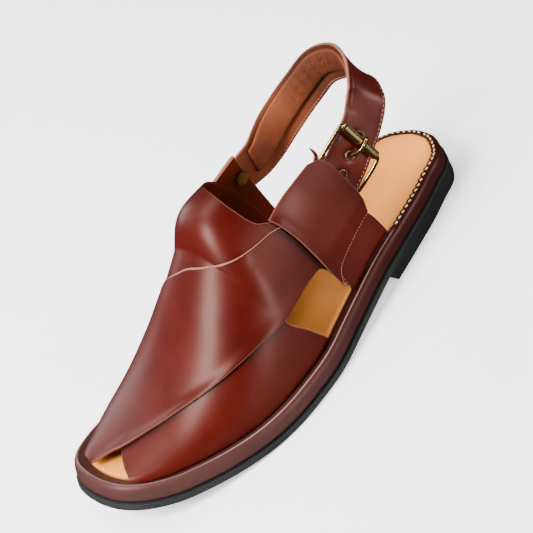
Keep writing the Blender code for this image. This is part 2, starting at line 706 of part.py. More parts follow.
def makeChape():
    # leather loop that holds the bar, open where the prong turns
    bar, barDown, out, roll, _, _ = buckleFrame()
    along = unit(np.cross(barDown, out))
    along = along * np.sign(along @ (roll - bar))
    place = (bar, along, out, barDown)
    inner = wireRadius + layerGap
    outer = inner + chapeLeather
    turns = np.linspace(-np.pi / 2, np.pi / 2, 9)
    close, neck = inner * 0.55, outer * 1.9

    def edge(radius, level):
        arc = [(radius * np.cos(a), radius * np.sin(a)) for a in turns]
        return np.array([(-chapeReach, -level), (-neck, -level)] + arc + [(-neck, level), (-chapeReach, level)])

    chape = slab("buckle_chape", edge(outer, close + chapeLeather), edge(inner, close), place, chapeWidth, leather)
    back, far = inner + prongRing + layerGap * 2, outer * 4
    near = np.array([(-back, -far), (far, -far)])
    cutter = slab("chape_cut", near, near * [1, -1], place, chapeSlot, leather)
    join(chape, cutter, "DIFFERENCE")


makeOutsole()
makeHeelBlock()
makeMidsole()
makeInsole()
makeUpper()
medialTab = makeTabs()
heelStrap = makeHeelStrap()
makeEyelets()
makePad()
makeRivet(heelStrap, medialTab)
makeFrame()
makeRoller()
makeProng()
makeChape()

# one empty carries every piece, so that the shoe stands centred across its outline
plan = soleOutline(0.0)
pieces = list(bpy.data.objects)
shoe = bpy.data.objects.new("shoe", None)
bpy.context.scene.collection.objects.link(shoe)
shoe.location.x = -(plan[:, 0].min() + plan[:, 0].max()) / 2
for piece in pieces:
    piece.parent = shoe
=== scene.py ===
import bpy
import numpy as np
from mathutils import Matrix, Vector


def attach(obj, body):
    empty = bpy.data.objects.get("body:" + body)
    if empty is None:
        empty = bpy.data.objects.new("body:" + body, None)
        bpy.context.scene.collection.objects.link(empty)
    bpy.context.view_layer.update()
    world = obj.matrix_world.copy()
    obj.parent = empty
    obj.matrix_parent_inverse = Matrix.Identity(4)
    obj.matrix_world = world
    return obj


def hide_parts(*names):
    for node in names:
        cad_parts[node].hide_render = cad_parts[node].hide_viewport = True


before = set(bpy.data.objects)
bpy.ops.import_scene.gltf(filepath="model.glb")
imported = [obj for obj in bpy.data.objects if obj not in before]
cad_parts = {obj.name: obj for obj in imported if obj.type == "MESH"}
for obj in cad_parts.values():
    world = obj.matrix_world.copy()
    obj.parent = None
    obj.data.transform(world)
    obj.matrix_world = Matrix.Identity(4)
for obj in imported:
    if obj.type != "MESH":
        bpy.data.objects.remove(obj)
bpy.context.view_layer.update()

random = np.random.default_rng(7)

# the last that everything follows: lengths in metres, along and across as shares
last = {
    "length": 0.287, "width": 0.1085, "toeSpring": 0.0185, "heelLift": 0.0079,
    "springStart": 0.635, "springPower": 2.27, "waistBack": 0.262, "waistFront": 0.555,
    "gap": 0.0003, "outsole": 0.005, "midsole": 0.0095, "instep": 0.092, "footInset": 0.0088,
    "strapLeather": 0.0019, "layerBite": 0.0010, "roundness": 0.8, "vampRound": 0.07, "toeTip": -0.050,
    "toeTuck": 0.0055}
last["footbed"] = last["outsole"] + last["gap"] + last["midsole"]
last["strapTop"] = last["strapLeather"] * 2 - last["layerBite"]

footRows = np.array([
    # along, inner side, outer side
    (0.005, 0.100, 0.077), (0.040, 0.251, 0.200), (0.092, 0.303, 0.250),
    (0.145, 0.327, 0.296), (0.197, 0.330, 0.330), (0.249, 0.324, 0.363),
    (0.319, 0.310, 0.403), (0.371, 0.303, 0.435), (0.441, 0.309, 0.476),
    (0.510, 0.336, 0.519), (0.580, 0.371, 0.541), (0.650, 0.418, 0.547),
    (0.720, 0.452, 0.525), (0.789, 0.452, 0.476), (0.859, 0.422, 0.409),
    (0.911, 0.386, 0.347), (0.963, 0.311, 0.237), (0.990, 0.215, 0.118)])

sectionRows = np.array([
    # along, crown height, crown lean
    (0.180, 0.900, -0.074), (0.314, 0.905, -0.074), (0.418, 0.925, -0.116), (0.455, 0.945, -0.128),
    (0.512, 0.884, -0.116), (0.599, 0.664, -0.090), (0.686, 0.462, -0.056), (0.774, 0.283, -0.030),
    (0.861, 0.140, -0.009), (0.906, 0.095, 0.0), (0.941, 0.052, 0.0), (0.972, 0.012, 0.0), (0.995, 0.008, 0.0)])


def smooth(x, low, high):
    # soft step from 0 at low to 1 at high
    w = np.clip((x - low) / (high - low), 0, 1)
    return w * w * (3 - 2 * w)


def unit(v):
    # the same direction at length one: v / |v|
    return v / (np.linalg.norm(v, axis=-1, keepdims=True) + 1e-12)


def follow(rows, at, tight=False):
    # cubic pieces through the rows, with mean slopes, or harmonic slopes that never overshoot
    rows, at = np.asarray(rows, float), np.asarray(at, float)
    x, y, step = rows[:, 0], rows[:, 1:], np.diff(rows[:, 0])
    rise = np.diff(y, axis=0) / step[:, None]
    inner = (rise[:-1] * step[1:, None] + rise[1:] * step[:-1, None]) / (step[:-1] + step[1:])[:, None]
    if tight:
        same = rise[:-1] * rise[1:] > 0
        inner = np.where(same, 2 * rise[:-1] * rise[1:] / np.where(same, rise[:-1] + rise[1:], 1), 0)
    slope = np.vstack([rise[:1], inner, rise[-1:]])
    i = np.clip(np.searchsorted(x, at, side="right") - 1, 0, len(x) - 2)
    h = step[i][..., None]
    t = ((at - x[i]) / step[i])[..., None]
    return ((2 * t**3 - 3 * t**2 + 1) * y[i] + (t**3 - 2 * t**2 + t) * h * slope[i]
            + (3 * t**2 - 2 * t**3) * y[i + 1] + (t**3 - t**2) * h * slope[i + 1])


def soleRise(u):
    # underside height: toeSpring * (share past springStart) ** springPower, plus a soft step up to the heel seat
    s = u / last["length"]
    ahead = np.clip((s - last["springStart"]) / (1 - last["springStart"]), 0, None)
    toe = last["toeSpring"] * ahead ** last["springPower"]
    return toe + last["heelLift"] * (1 - smooth(s, last["waistBack"], last["waistFront"]))


def soleFrame(x, u, n):
    # a point x across, u from the heel back, n square off the underside
    grade = (soleRise(u + 1e-4) - soleRise(u - 1e-4)) / 2e-4
    k = 1 / np.sqrt(1 + grade * grade)
    x, u, n, grade, k = np.broadcast_arrays(x, u, n, grade, k)
    return np.stack([x + shiftX, last["length"] / 2 - (u - grade * k * n), soleRise(u) + k * n], -1)


def planLoop(count=1440, lap=4):
    # the sole's plan as an even closed loop from the heel round the outer side, with outward normals
    side = footRows * [last["length"], last["width"], last["width"]]
    ring = [(0.0, 0.0)] + [(r[2], r[0]) for r in side] + [(last["toeTip"] * last["width"], last["length"])]
    ring = np.array(ring + [(-r[1], r[0]) for r in side[::-1]])
    wrapped = np.vstack([ring[-lap:], ring, ring[:lap + 1]])
    reach = np.concatenate([[0], np.cumsum(np.sqrt(np.hypot(*np.diff(wrapped, axis=0).T)))])
    at = np.linspace(reach[lap], reach[lap + len(ring)], 4 * count, endpoint=False)
    path = follow(np.column_stack([reach, wrapped]), at)
    closed = np.vstack([path, path[:1]])
    length = np.concatenate([[0], np.cumsum(np.hypot(*np.diff(closed, axis=0).T))])
    even = np.linspace(0, length[-1], count, endpoint=False)
    path = np.column_stack([np.interp(even, length, column) for column in closed.T])
    run = np.roll(path, -2, 0) - np.roll(path, 2, 0)
    out = unit(np.stack([run[:, 1], -run[:, 0]], 1))
    out *= np.sign(((path - path.mean(0)) * out).sum(1).mean())
    return path, out, even


def planAt(reach):
    # point (x, u) and outward normal (x, u) at distances along the plan, linear between its points
    return [np.interp(reach, planReach, column) for column in (*planPath.T, *planOut.T)]


shiftX = 0.0
planPath, planOut, planReach = planLoop()
shiftX = -(planPath[:, 0].min() + planPath[:, 0].max()) / 2


def softened(rows, reach, half=90):
    # the rows' curve on even steps of length, averaged with a bell exp(-d^2 / (2 reach^2))
    spread = np.exp(-0.5 * (np.arange(-half, half + 1) * evenSpots[1] / reach) ** 2)
    padded = np.pad(follow(rows, evenSpots), ((half, half), (0, 0)), mode="edge")
    return np.column_stack([np.convolve(column, spread / spread.sum(), "valid") for column in padded.T])


evenSpots = np.linspace(0, last["length"], 1600)
evenSides = softened(footRows * [last["length"], last["width"], last["width"]], 0.002)
evenForm = softened(sectionRows * [last["length"], last["instep"], last["width"]], 0.0105)


def lastPoint(t, u, offset=0.0):
    # upper surface: t from the inner foot line over the crown to the outer one, offset along its normal
    t, u = np.broadcast_arrays(np.asarray(t, float), np.asarray(u, float))

    def place(t, u):
        # a half turn of t from side to side, both its cosine and sine raised to the section's power
        share = u / last["length"]
        side = np.stack([np.interp(u, evenSpots, evenSides[:, k]) for k in (0, 1)], -1)
        form = np.stack([np.interp(u, evenSpots, evenForm[:, k]) for k in (0, 1)], -1)
        tuck = last["toeTuck"] * smooth(share, 0.83, 0.965)
        inner, outer = last["footInset"] - side[..., 0] + tuck, side[..., 1] - last["footInset"]
        vamp = last["vampRound"] * smooth(share, 0.44, 0.56) * (1 - smooth(share, 0.74, 0.90))
        power = last["roundness"] + vamp
        c, s = np.cos(np.pi * t), np.sin(np.pi * np.clip(t, 0, 1)) ** power
        x = (inner + outer) / 2 - (outer - inner) / 2 * np.sign(c) * np.abs(c) ** power + form[..., 1] * s
        return soleFrame(x, u, last["footbed"] + last["gap"] + form[..., 0] * s)

    here = place(t, u)
    tt = np.clip(t, 0.004, 0.996)
    out = np.cross(place(tt, u + 0.001) - place(tt, u - 0.001), place(tt + 0.003, u) - place(tt - 0.003, u))
    out[..., 2] = np.where(np.minimum(t, 1 - t) < 0.004, 0, out[..., 2])
    return here + unit(out) * np.asarray(offset)[..., None]


def patchPoint(edges, s, r):
    # (t, u) inside four edge curves: front to back over r, start to end over s
    def along(curve, at):
        # the curve at shares of its length, where a step round the last counts 1.6 times
        curve = np.asarray(curve, float)
        gap = np.hypot(np.diff(curve[:, 0]) * 1.6, np.diff(curve[:, 1])) + 1e-9
        reach = np.concatenate([[0], np.cumsum(gap)]) / gap.sum()
        return follow(np.column_stack([reach, curve]), at, True)

    front, back, start, end = edges
    s, r = np.broadcast_arrays(s, r)
    f, b, a, e = along(front, s), along(back, s), along(start, r), along(end, r)
    f0, f1, b0, b1 = (np.array(c, float) for c in (front[0], front[-1], back[0], back[-1]))
    s, r = s[..., None], r[..., None]
    spot = (1 - r) * f + r * b + (1 - s) * a + s * e
    spot -= (1 - s) * (1 - r) * f0 + (1 - s) * r * b0 + s * (1 - r) * f1 + s * r * b1
    return np.clip(spot[..., 0], 0, 1), spot[..., 1] * last["length"]


def gridFaces(rows, cols, wrapRows=False, wrapCols=False):
    # quads of a grid of points, closed round either way if asked
    i, j = np.meshgrid(np.arange(rows if wrapRows else rows - 1),
                       np.arange(cols if wrapCols else cols - 1), indexing="ij")
    i2, j2 = (i + 1) % rows, (j + 1) % cols
    return np.stack([i * cols + j, i * cols + j2, i2 * cols + j2, i2 * cols + j], -1).reshape(-1, 4)


def tubeFaces(rows, count):
    # a grid closed round its columns; strips close each end: point i faces point count - 1 - i
    i = np.arange(count // 2 - 1)
    cap = np.stack([i, i + 1, count - 2 - i, count - 1 - i], -1)
    return np.vstack([gridFaces(rows, count, wrapCols=True), cap[:, ::-1], cap + (rows - 1) * count])


def outwards(points, faces):
    # turns all faces round if the closed shape's volume, the sum of a.(b x c) + a.(c x d), comes out negative
    p = np.asarray(points, float).reshape(-1, 3)
    a, b, c, d = (p[faces[:, k]] for k in range(4))
    volume = np.einsum("ij,ij->i", a, np.cross(b, c)).sum() + np.einsum("ij,ij->i", a, np.cross(c, d)).sum()
    return faces if volume > 0 else faces[:, ::-1]


def addObject(name, data):
    # a named object around its data, in the scene
    made = bpy.data.objects.new(name, data)
    bpy.context.scene.collection.objects.link(made)
    return made


def makePiece(name, points, faces, mats, values=None, faceMat=None, sharp=None, node=None):
    # numpy points and quads into a mesh object with per-point values and its materials, attached to the root and
    # standing in for its CAD part
    faces = outwards(points, faces)
    mesh = bpy.data.meshes.new(name)
    points = np.asarray(points, np.float32).reshape(-1, 3)
    mesh.vertices.add(len(points))
    mesh.vertices.foreach_set("co", points.ravel())
    mesh.loops.add(faces.size)
    mesh.loops.foreach_set("vertex_index", faces.ravel().astype(np.int32))
    mesh.polygons.add(len(faces))
    mesh.polygons.foreach_set("loop_start", np.arange(0, faces.size, 4, dtype=np.int32))
    mesh.update(calc_edges=True)
    mesh.validate()
    for key, value in {"dim": np.zeros(len(points)), **(values or {})}.items():
        layer = mesh.attributes.new(key, "FLOAT", "POINT")
        layer.data.foreach_set("value", np.asarray(value, np.float32).ravel())
    for mat in mats:
        mesh.materials.append(mat)
    if faceMat is not None:
        mesh.polygons.foreach_set("material_index", np.asarray(faceMat, np.int32))
    mesh.shade_smooth()
    if sharp:
        mesh.set_sharp_from_angle(angle=np.radians(sharp))
    obj = addObject(name, mesh)
    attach(obj, "root")
    if node:
        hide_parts(node)
    return obj


print("form ready")

# shader groups that several materials share


def newGroup(name, inputs, outputs):
    # an empty shader group with named inputs (label, kind, value) and outputs (label, kind)
    group = bpy.data.node_groups.new(name, "ShaderNodeTree")
    for label, kind, value in inputs:
        socket = group.interface.new_socket(label, in_out="INPUT", socket_type=kind)
        socket.default_value = value
    for label, kind in outputs:
        group.interface.new_socket(label, in_out="OUTPUT", socket_type=kind)
    return group, group.nodes.new("NodeGroupInput"), group.nodes.new("NodeGroupOutput")


def fill(tree, socket, value):
    # a link where another node's output is given, else a plain value
    if isinstance(value, bpy.types.NodeSocket):
        tree.links.new(value, socket)
    else:
        socket.default_value = value


def addNode(tree, kind, ins=None, **settings):
    # a shader node with plain settings, and inputs given by name or number
    made = tree.nodes.new(kind)
    for key, value in settings.items():
        setattr(made, key, value)
    for socket, value in (ins or {}).items():
        fill(tree, made.inputs[socket], value)
    return made


def multiplyAdd(tree, a, b, c):
    # a * b + c
    return addNode(tree, "ShaderNodeMath", {0: a, 1: b, 2: c}, operation="MULTIPLY_ADD").outputs[0]


def pointValue(tree, name):
    # a value stored with the mesh's points
    return addNode(tree, "ShaderNodeAttribute", attribute_name=name).outputs["Fac"]


def makeGrainGroup():
    # height = pebbles * Pebble + pores / 4 + a slow swell * Swell; and a slow blotch mask
    group, gin, gout = newGroup("leatherGrain", [
        ("Scale", "NodeSocketFloat", 900.0), ("Pebble", "NodeSocketFloat", 0.5), ("Swell", "NodeSocketFloat", 0.5)],
        [("Height", "NodeSocketFloat"), ("Blotch", "NodeSocketFloat")])
    where = addNode(group, "ShaderNodeTexCoord").outputs["Object"]
    fine = addNode(group, "ShaderNodeTexVoronoi", {"Vector": where, "Scale": gin.outputs["Scale"], "Smoothness": 0.6},
                   feature="SMOOTH_F1").outputs["Distance"]
    pores, swell, blotch = (
        addNode(group, "ShaderNodeTexNoise", {"Vector": where, "Scale": scale, "Detail": detail, "Roughness": rough})
        for scale, detail, rough in ((2600.0, 2.0, 0.5), (70.0, 3.0, 0.5), (26.0, 4.0, 0.6)))
    pebbles = addNode(group, "ShaderNodeMath", {0: fine, 1: gin.outputs["Pebble"]}, operation="MULTIPLY").outputs[0]
    height = multiplyAdd(group, pores.outputs["Fac"], 0.25, pebbles)
    height = multiplyAdd(group, swell.outputs["Fac"], gin.outputs["Swell"], height)
    group.links.new(height, gout.inputs["Height"])
    group.links.new(blotch.outputs["Fac"], gout.inputs["Blotch"])
    return group


grainGroup = makeGrainGroup()


def startMaterial(name, **sockets):
    # a new material with plain values on its shader, spaces written as underscores
    mat = bpy.data.materials.new(name)
    mat.use_nodes = True
    shader = mat.node_tree.nodes["Principled BSDF"]
    for key, value in sockets.items():
        shader.inputs[key.replace("_", " ")].default_value = value
    return mat, mat.node_tree, shader


def ramp(tree, fac, stops):
    # colours (place, colour) laid along fac, linear between them
    made = addNode(tree, "ShaderNodeValToRGB", {"Fac": fac})
    line = made.color_ramp
    while len(line.elements) < len(stops):
        line.elements.new(0.5)
    for element, (at, colour) in zip(line.elements, stops):
        element.position = at
        element.color = (*colour, 1)
    return made.outputs["Color"]


def mixColour(tree, fac, a, b):
    # a * (1 - fac) + b * fac
    made = addNode(tree, "ShaderNodeMix", {0: fac, 6: a}, data_type="RGBA", blend_type="MIX")
    made.inputs[7].default_value = (*b, 1)
    return made.outputs[2]


def closeMaterial(mat, tree, shader, grain, colour, rough, spread, bump, distance):
    # colour straight in, roughness = rough + spread * (blotch - 0.5), and the grain's height as bump
    fill(tree, shader.inputs["Base Color"], colour)
    fill(tree, shader.inputs["Roughness"], multiplyAdd(tree, grain.outputs["Blotch"], spread, rough - spread / 2))
    made = addNode(tree, "ShaderNodeBump",
                   {"Strength": bump, "Distance": distance, "Height": grain.outputs["Height"]})
    fill(tree, shader.inputs["Normal"], made.outputs["Normal"])
    return mat


leatherLook = {"dark": (0.020, 0.0008, 0.0004), "mid": (0.043, 0.0018, 0.0008), "light": (0.062, 0.0042, 0.0017),
               "cut": (0.360, 0.140, 0.090), "rough": 0.40, "grain": 1100.0, "bump": 0.10}
# on the rand, the cut colour is a painted highlight for the pale line along its ridge
randLook = {"dark": (0.026, 0.0080, 0.0072), "mid": (0.042, 0.0150, 0.0135), "light": (0.055, 0.0205, 0.0185),
            "cut": (0.480, 0.260, 0.220), "rough": 0.45, "grain": 900.0, "bump": 0.14,
            # painted shade: the heel colour darkens the rand towards the heel
            "heel": (0.021, 0.0018, 0.0013)}


def makeLeather(name, look):
    # glazed leather: blotched colour, darker by the dim value (painted shade, and darker edges) and by the heelward
    # one (painted shade towards the rand's heel), pale by the cut value (cut edges, and on the rand a painted
    # highlight along its ridge)
    mat, tree, shader = startMaterial(name, Coat_Weight=0.03, Coat_Roughness=0.25, Specular_IOR_Level=0.21,
                                      Specular_Tint=(1.0, 0.60, 0.51, 1))
    grain = addNode(tree, "ShaderNodeGroup", {"Scale": look["grain"], "Pebble": 0.5, "Swell": 0.8},
                    node_tree=grainGroup)
    stops = [(0.30, look["dark"]), (0.48, look["mid"]), (0.66, look["light"])]
    colour = mixColour(tree, 0.55, ramp(tree, grain.outputs["Blotch"], stops), look["mid"])
    # painted shade: on the rand, darker towards the heel
    if "heel" in look:
        colour = mixColour(tree, pointValue(tree, "heelwardShade"), colour, look["heel"])
    # painted shade: a dark copy of the leather where the dim value is high; it also darkens the edges
    colour = mixColour(tree, pointValue(tree, "dim"), colour, tuple(c * 0.30 for c in look["dark"]))
    # pale cut edges; on the rand, the painted highlight along its ridge
    colour = mixColour(tree, pointValue(tree, "cut"), colour, look["cut"])
    return closeMaterial(mat, tree, shader, grain, colour, look["rough"], 0.14, look["bump"], 0.0004)


def makePlain(name, colour, other, rough, grainScale, bump, **sockets):
    # matt or metal finish: two colours mixed by the blotch, grain as bump, darker by the dim value, mostly painted
    # shade
    mat, tree, shader = startMaterial(name, **sockets)
    grain = addNode(tree, "ShaderNodeGroup", {"Scale": grainScale, "Pebble": 0.6, "Swell": 0.4}, node_tree=grainGroup)
    tone = ramp(tree, grain.outputs["Blotch"], [(0.34, colour), (0.64, other)])
    # painted shade: a dark copy of the colour where the dim value is high
    tone = mixColour(tree, pointValue(tree, "dim"), tone, tuple(c * 0.35 for c in colour))
    return closeMaterial(mat, tree, shader, grain, tone, rough, 0.20, bump, 0.0003)


# makePlain takes two colours, roughness, grain scale and bump
upperLeather = makeLeather("upperLeather", leatherLook)
randLeather = makeLeather("randLeather", randLook)
liningLeather = makePlain("liningLeather", (0.118, 0.027, 0.0090), (0.180, 0.046, 0.0165), 0.58, 700.0, 0.35,
                          Specular_IOR_Level=0.15)
insoleLeather = makePlain("insoleLeather", (0.700, 0.235, 0.040), (0.780, 0.280, 0.054), 0.62, 1300.0, 0.10,
                          Specular_IOR_Level=0.06)
soleRubber = makePlain("soleRubber", (0.0105, 0.0112, 0.0110), (0.0160, 0.0170, 0.0167), 0.65, 500.0, 0.25,
                       Specular_IOR_Level=0.10)
heelRubber = makePlain("heelRubber", (0.0058, 0.0058, 0.0062), (0.0088, 0.0088, 0.0092), 0.65, 500.0, 0.25,
                       Specular_IOR_Level=0.05)
brass = makePlain("brass", (0.330, 0.220, 0.080), (0.460, 0.320, 0.130), 0.19, 300.0, 0.05, Metallic=1.0)
agedBrass = makePlain("agedBrass", (0.048, 0.035, 0.018), (0.160, 0.118, 0.058), 0.38, 900.0, 0.25, Metallic=0.75)
thread = makePlain("thread", (0.56, 0.340, 0.115), (0.70, 0.480, 0.210), 0.6, 2500.0, 0.5)
seamThread = makePlain("seamThread", (0.200, 0.075, 0.042), (0.290, 0.125, 0.078), 0.6, 2500.0, 0.4)

print("materials ready")

# the straps of the foot: sheets of even thickness with rounded cut edges
# each is bounded by its front edge, back edge, start and end, as (round the last, along the last)

topEdges = (
    [(0.34, 0.974), (0.42, 0.962), (0.48, 0.939), (0.525, 0.909), (0.567, 0.877), (0.615, 0.842), (0.667, 0.801),
     (0.717, 0.760), (0.764, 0.711), (0.803, 0.662), (0.842, 0.610), (0.881, 0.554), (0.912, 0.474), (0.925, 0.400),
     (1.0, 0.383)],
    [(0.0, 0.632), (0.12, 0.628), (0.24, 0.618), (0.34, 0.608), (0.422, 0.598), (0.472, 0.589), (0.511, 0.578),
     (0.553, 0.571), (0.600, 0.560), (0.656, 0.536), (0.697, 0.512), (0.731, 0.483), (0.757, 0.447),
     (0.772, 0.408), (0.80, 0.376), (0.89, 0.362), (0.925, 0.310), (0.945, 0.266), (1.0, 0.250)],
    [(0.34, 0.974), (0.16, 0.966), (0.05, 0.948), (0.0, 0.915), (0.0, 0.840), (0.0, 0.632)],
    [(1.0, 0.383), (1.0, 0.250)])

underEdges = (
    [(0.93, 0.958), (0.80, 0.955), (0.70, 0.951), (0.617, 0.944), (0.531, 0.930), (0.46, 0.895), (0.37, 0.830),
     (0.26, 0.750), (0.13, 0.680), (0.0, 0.650)],
    [(1.0, 0.491), (0.953, 0.512), (0.894, 0.537), (0.866, 0.515), (0.850, 0.460), (0.836, 0.408), (0.805, 0.381),
     (0.770, 0.384), (0.746, 0.399), (0.720, 0.413), (0.672, 0.418), (0.614, 0.418), (0.561, 0.415), (0.510, 0.411),
     (0.44, 0.401), (0.34, 0.380), (0.22, 0.357), (0.10, 0.345), (0.0, 0.340)],
    [(0.93, 0.958), (1.0, 0.935), (1.0, 0.700), (1.0, 0.491)],
    [(0.0, 0.650), (0.0, 0.340)])

tabEdges = (
    [(0.742, 0.397), (0.789, 0.392), (0.844, 0.390), (0.917, 0.392), (0.985, 0.393)],
    [(0.735, 0.292), (0.758, 0.274), (0.789, 0.268), (0.842, 0.265), (0.897, 0.262), (0.946, 0.265)],
    [(0.742, 0.397), (0.732, 0.345), (0.735, 0.292)],
    [(0.985, 0.393), (0.963, 0.372), (0.957, 0.345), (0.952, 0.310), (0.946, 0.265)])

medialEdges = (
    [(0.0, 0.500), (0.10, 0.478), (0.19, 0.440), (0.26, 0.400), (0.278, 0.388)],
    [(0.0, 0.316), (0.10, 0.317), (0.20, 0.318), (0.30, 0.321)],
    [(0.0, 0.500), (0.0, 0.316)],
    [(0.278, 0.388), (0.292, 0.352), (0.30, 0.321)])


def easedSteps(count):
    # steps that close up towards both ends
    s = np.linspace(0, 1, count)
    return s * 0.45 + 0.55 * (0.5 - 0.5 * np.cos(np.pi * s))


def leatherSheet(name, edges, low, high, look, mats, node):
    # outer face, rounded back edge, inner face and rounded front edge make one closed loop per station
    cols, bulge = look["cols"], look["bulge"]
    steps = easedSteps(look["rows"])
    fine = np.linspace(0, 1, 60)
    width = np.linalg.norm(np.diff(lastPoint(*patchPoint(edges, steps[:, None], fine[None])), axis=1), axis=-1).sum(1)
    spine = lastPoint(*patchPoint(edges, fine[:, None], np.full((1, 1), 0.5)))
    length = np.linalg.norm(np.diff(spine, axis=0), axis=-1).sum()
    # extra stations near the ends for their rounding, and each station's share of the thickness
    turns = np.radians([12.0, 35.0, 60.0, 90.0])
    extra = bulge * (1 - np.cos(turns)) / length
    kept = steps[(steps > extra[-1] * 1.3) & (steps < 1 - extra[-1] * 1.3)]
    stations = np.concatenate([extra, kept, 1 - extra[::-1]])
    share = np.concatenate([np.sin(turns), np.ones(len(kept)), np.sin(turns)[::-1]])
    endCut = np.concatenate([[1, 1, 1, 0], np.zeros(len(kept)), [0, 1, 1, 1]])
    width = np.interp(stations, steps, width)[:, None]
    # round the loop: share of the width, share of the thickness, and how much it is a cut edge
    rim, near = np.radians([8.0, 26.0, 45.0, 64.0, 90.0]), np.array([0.0004, 0.0012])
    side = np.concatenate([bulge * (1 - np.cos(rim)), bulge + near]) / width
    start = side[:, -1:]
    middle = start + (1 - 2 * start) * np.linspace(0, 1, cols)[None, 1:-1]
    across = np.concatenate([side, middle, 1 - side[:, ::-1]], 1)
    across = np.concatenate([across, across[:, ::-1]], 1)
    flat = 2 * len(near) + cols - 2
    up = np.concatenate([np.sin(rim), np.ones(flat), np.sin(rim)[::-1]])
    up = np.concatenate([up, -up[::-1]])
    edgeCut = np.concatenate([[1, 1, 1, 0.75, 0], np.zeros(flat), [0, 0.75, 1, 1, 1]])
    edgeCut = np.concatenate([edgeCut, edgeCut[::-1]])
    along = np.broadcast_to(stations[:, None], across.shape)
    t, u = patchPoint(edges, along, across)
    lowAt = low(t, u) if callable(low) else np.full(t.shape, low)
    highAt = high(t, u) if callable(high) else np.full(t.shape, high)
    fromFront, fromBack = across * width, (1 - across) * width
    offset = (lowAt + highAt) / 2 + (highAt - lowAt) / 2 * up * share[:, None]
    if "relief" in look:
        offset = offset + look["relief"](along, across, t, fromFront, fromBack)
    startPale, finalPale = look["endPale"]
    fade = np.minimum(smooth(stations, 0, 0.02) + startPale, smooth(1 - stations, 0, 0.02) + finalPale)
    endCut = endCut * np.where(stations < 0.5, startPale, finalPale)
    cut = np.maximum(edgeCut * np.clip(fade, 0, 1)[:, None], endCut[:, None]) * look["pale"]
    if "paleAt" in look:
        cut = cut * look["paleAt"](t, fromFront, fromBack)
    # darker towards both edges
    dim = look["edgeDarken"] * np.exp(-np.minimum(fromFront, fromBack) / 0.0022) * (1 - cut)
    if "shade" in look:
        dim = dim + look["shade"](t, u)
    count = across.shape[1]
    inside = np.zeros(count, int)
    inside[count // 2 + len(rim):count - len(rim)] = 1
    lined = look["lined"](t) if "lined" in look else np.ones(t.shape, bool)
    faceMat = np.concatenate([(inside * lined[:-1]).ravel(), np.zeros(2 * (count // 2 - 1), int)])
    return makePiece(name, lastPoint(t, u, offset), tubeFaces(len(stations), count), mats,
                     {"cut": cut, "dim": np.clip(dim, 0, 1)}, faceMat, node=node)


upperStrap = {"rows": 240, "cols": 90, "bulge": 0.0007, "edgeLift": 0.0012, "collarLift": 0.0005,
              "pale": 0.85, "edgeDarken": 0.30, "endPale": (0.0, 0.0)}
lowerStrap = {"rows": 240, "cols": 90, "bulge": 0.0007, "pale": 0.62, "edgeDarken": 0.30, "endPale": (0.0, 0.0)}


def upperRelief(s, r, t, fromFront, fromBack):
    # the front edge stands a little off the strap below, the back edge too over the tongue
    front = np.exp(-(fromFront / 0.008) ** 2) * smooth(s, 0.05, 0.22) * (1 - smooth(s, 0.72, 0.86))
    back = np.exp(-(fromBack / 0.006) ** 2) * smooth(t, 0.30, 0.45) * (1 - smooth(t, 0.74, 0.80))
    return upperStrap["edgeLift"] * front + upperStrap["collarLift"] * back


def shadeBelow(curve, t, u, reach, strength):
    # darkest right in front of another piece's edge, fading over the reach
    rows = np.array(curve)
    ahead = u - np.interp(t, rows[:, 0], rows[:, 1]) * last["length"]
    fade = np.exp(-(np.clip(ahead, 0, 1) / reach) ** 1.6) * smooth(ahead, -0.004, -0.001)
    return strength * fade * (t > rows[0, 0] - 0.02)


def lowerShade(t, u):
    # dark under the upper strap's front edge, and a little along its back edge
    behind = np.interp(t, *np.array(topEdges[1]).T) * last["length"] - u
    back = np.exp(-np.clip(behind, 0, 1) / 0.0022) * (behind > -0.004)
    return shadeBelow(topEdges[0], t, u, 0.0052, 0.98) + 0.35 * back


def upperShade(t, u):
    # dark in front of the outer tab's edge
    return shadeBelow(tabEdges[0], t, u, 0.0038, 0.97)


def upperPale(t, fromFront, fromBack):
    # the front edge is darker than the back one
    return np.where(fromFront < fromBack, 0.55, 1.0)


def lowerPale(t, fromFront, fromBack):
    # the collar is pale over the crown only, and the front edge hardly at all
    return np.where(fromFront < fromBack, 0.45, smooth(t, 0.44, 0.54))


def lowerLined(t):
    # the lining shows on the outer half
    return t > 0.45


upperStrap.update({"relief": upperRelief, "shade": upperShade, "paleAt": upperPale})
lowerStrap.update({"shade": lowerShade, "paleAt": lowerPale, "lined": lowerLined})
leatherSheet("lowerStrap", underEdges, 0.0, last["strapLeather"], lowerStrap, [upperLeather, liningLeather], "upper")
leatherSheet("upperStrap", topEdges, last["strapLeather"] - last["layerBite"], last["strapTop"], upperStrap,
             [upperLeather, liningLeather], "upper")

# the outer tab over the buckle bar and the inner tab that carries the heel strap

tab = {"rows": 120, "cols": 60, "bulge": 0.0008, "thick": 0.0024, "lift": 0.0016, "skive": 0.0011, "frontLift": 0.0009,
       "dip": 0.0005, "pale": 0.22, "edgeDarken": 0.45, "endPale": (0.8, 0.0)}
innerTab = {"rows": 110, "cols": 60, "bulge": 0.0008, "thick": 0.0022, "pale": 0.5, "edgeDarken": 0.35,
            "endPale": (0.0, 1.0)}


def tabInner(t, u):
    # rises over the strap end towards the heel, and not near its own foot
    s = np.clip((0.385 - u / last["length"]) / 0.07, 0, 1)
    w = np.clip((0.955 - t) / 0.04, 0, 1)
    return last["strapTop"] + last["gap"] + tab["lift"] * s * s * (3 - 2 * s) * w


def tabOuter(t, u):
    # the full thickness, skived thin towards the foot
    return tabInner(t, u) + tab["thick"] - (tab["thick"] - tab["skive"]) * smooth(t, 0.905, 0.955)


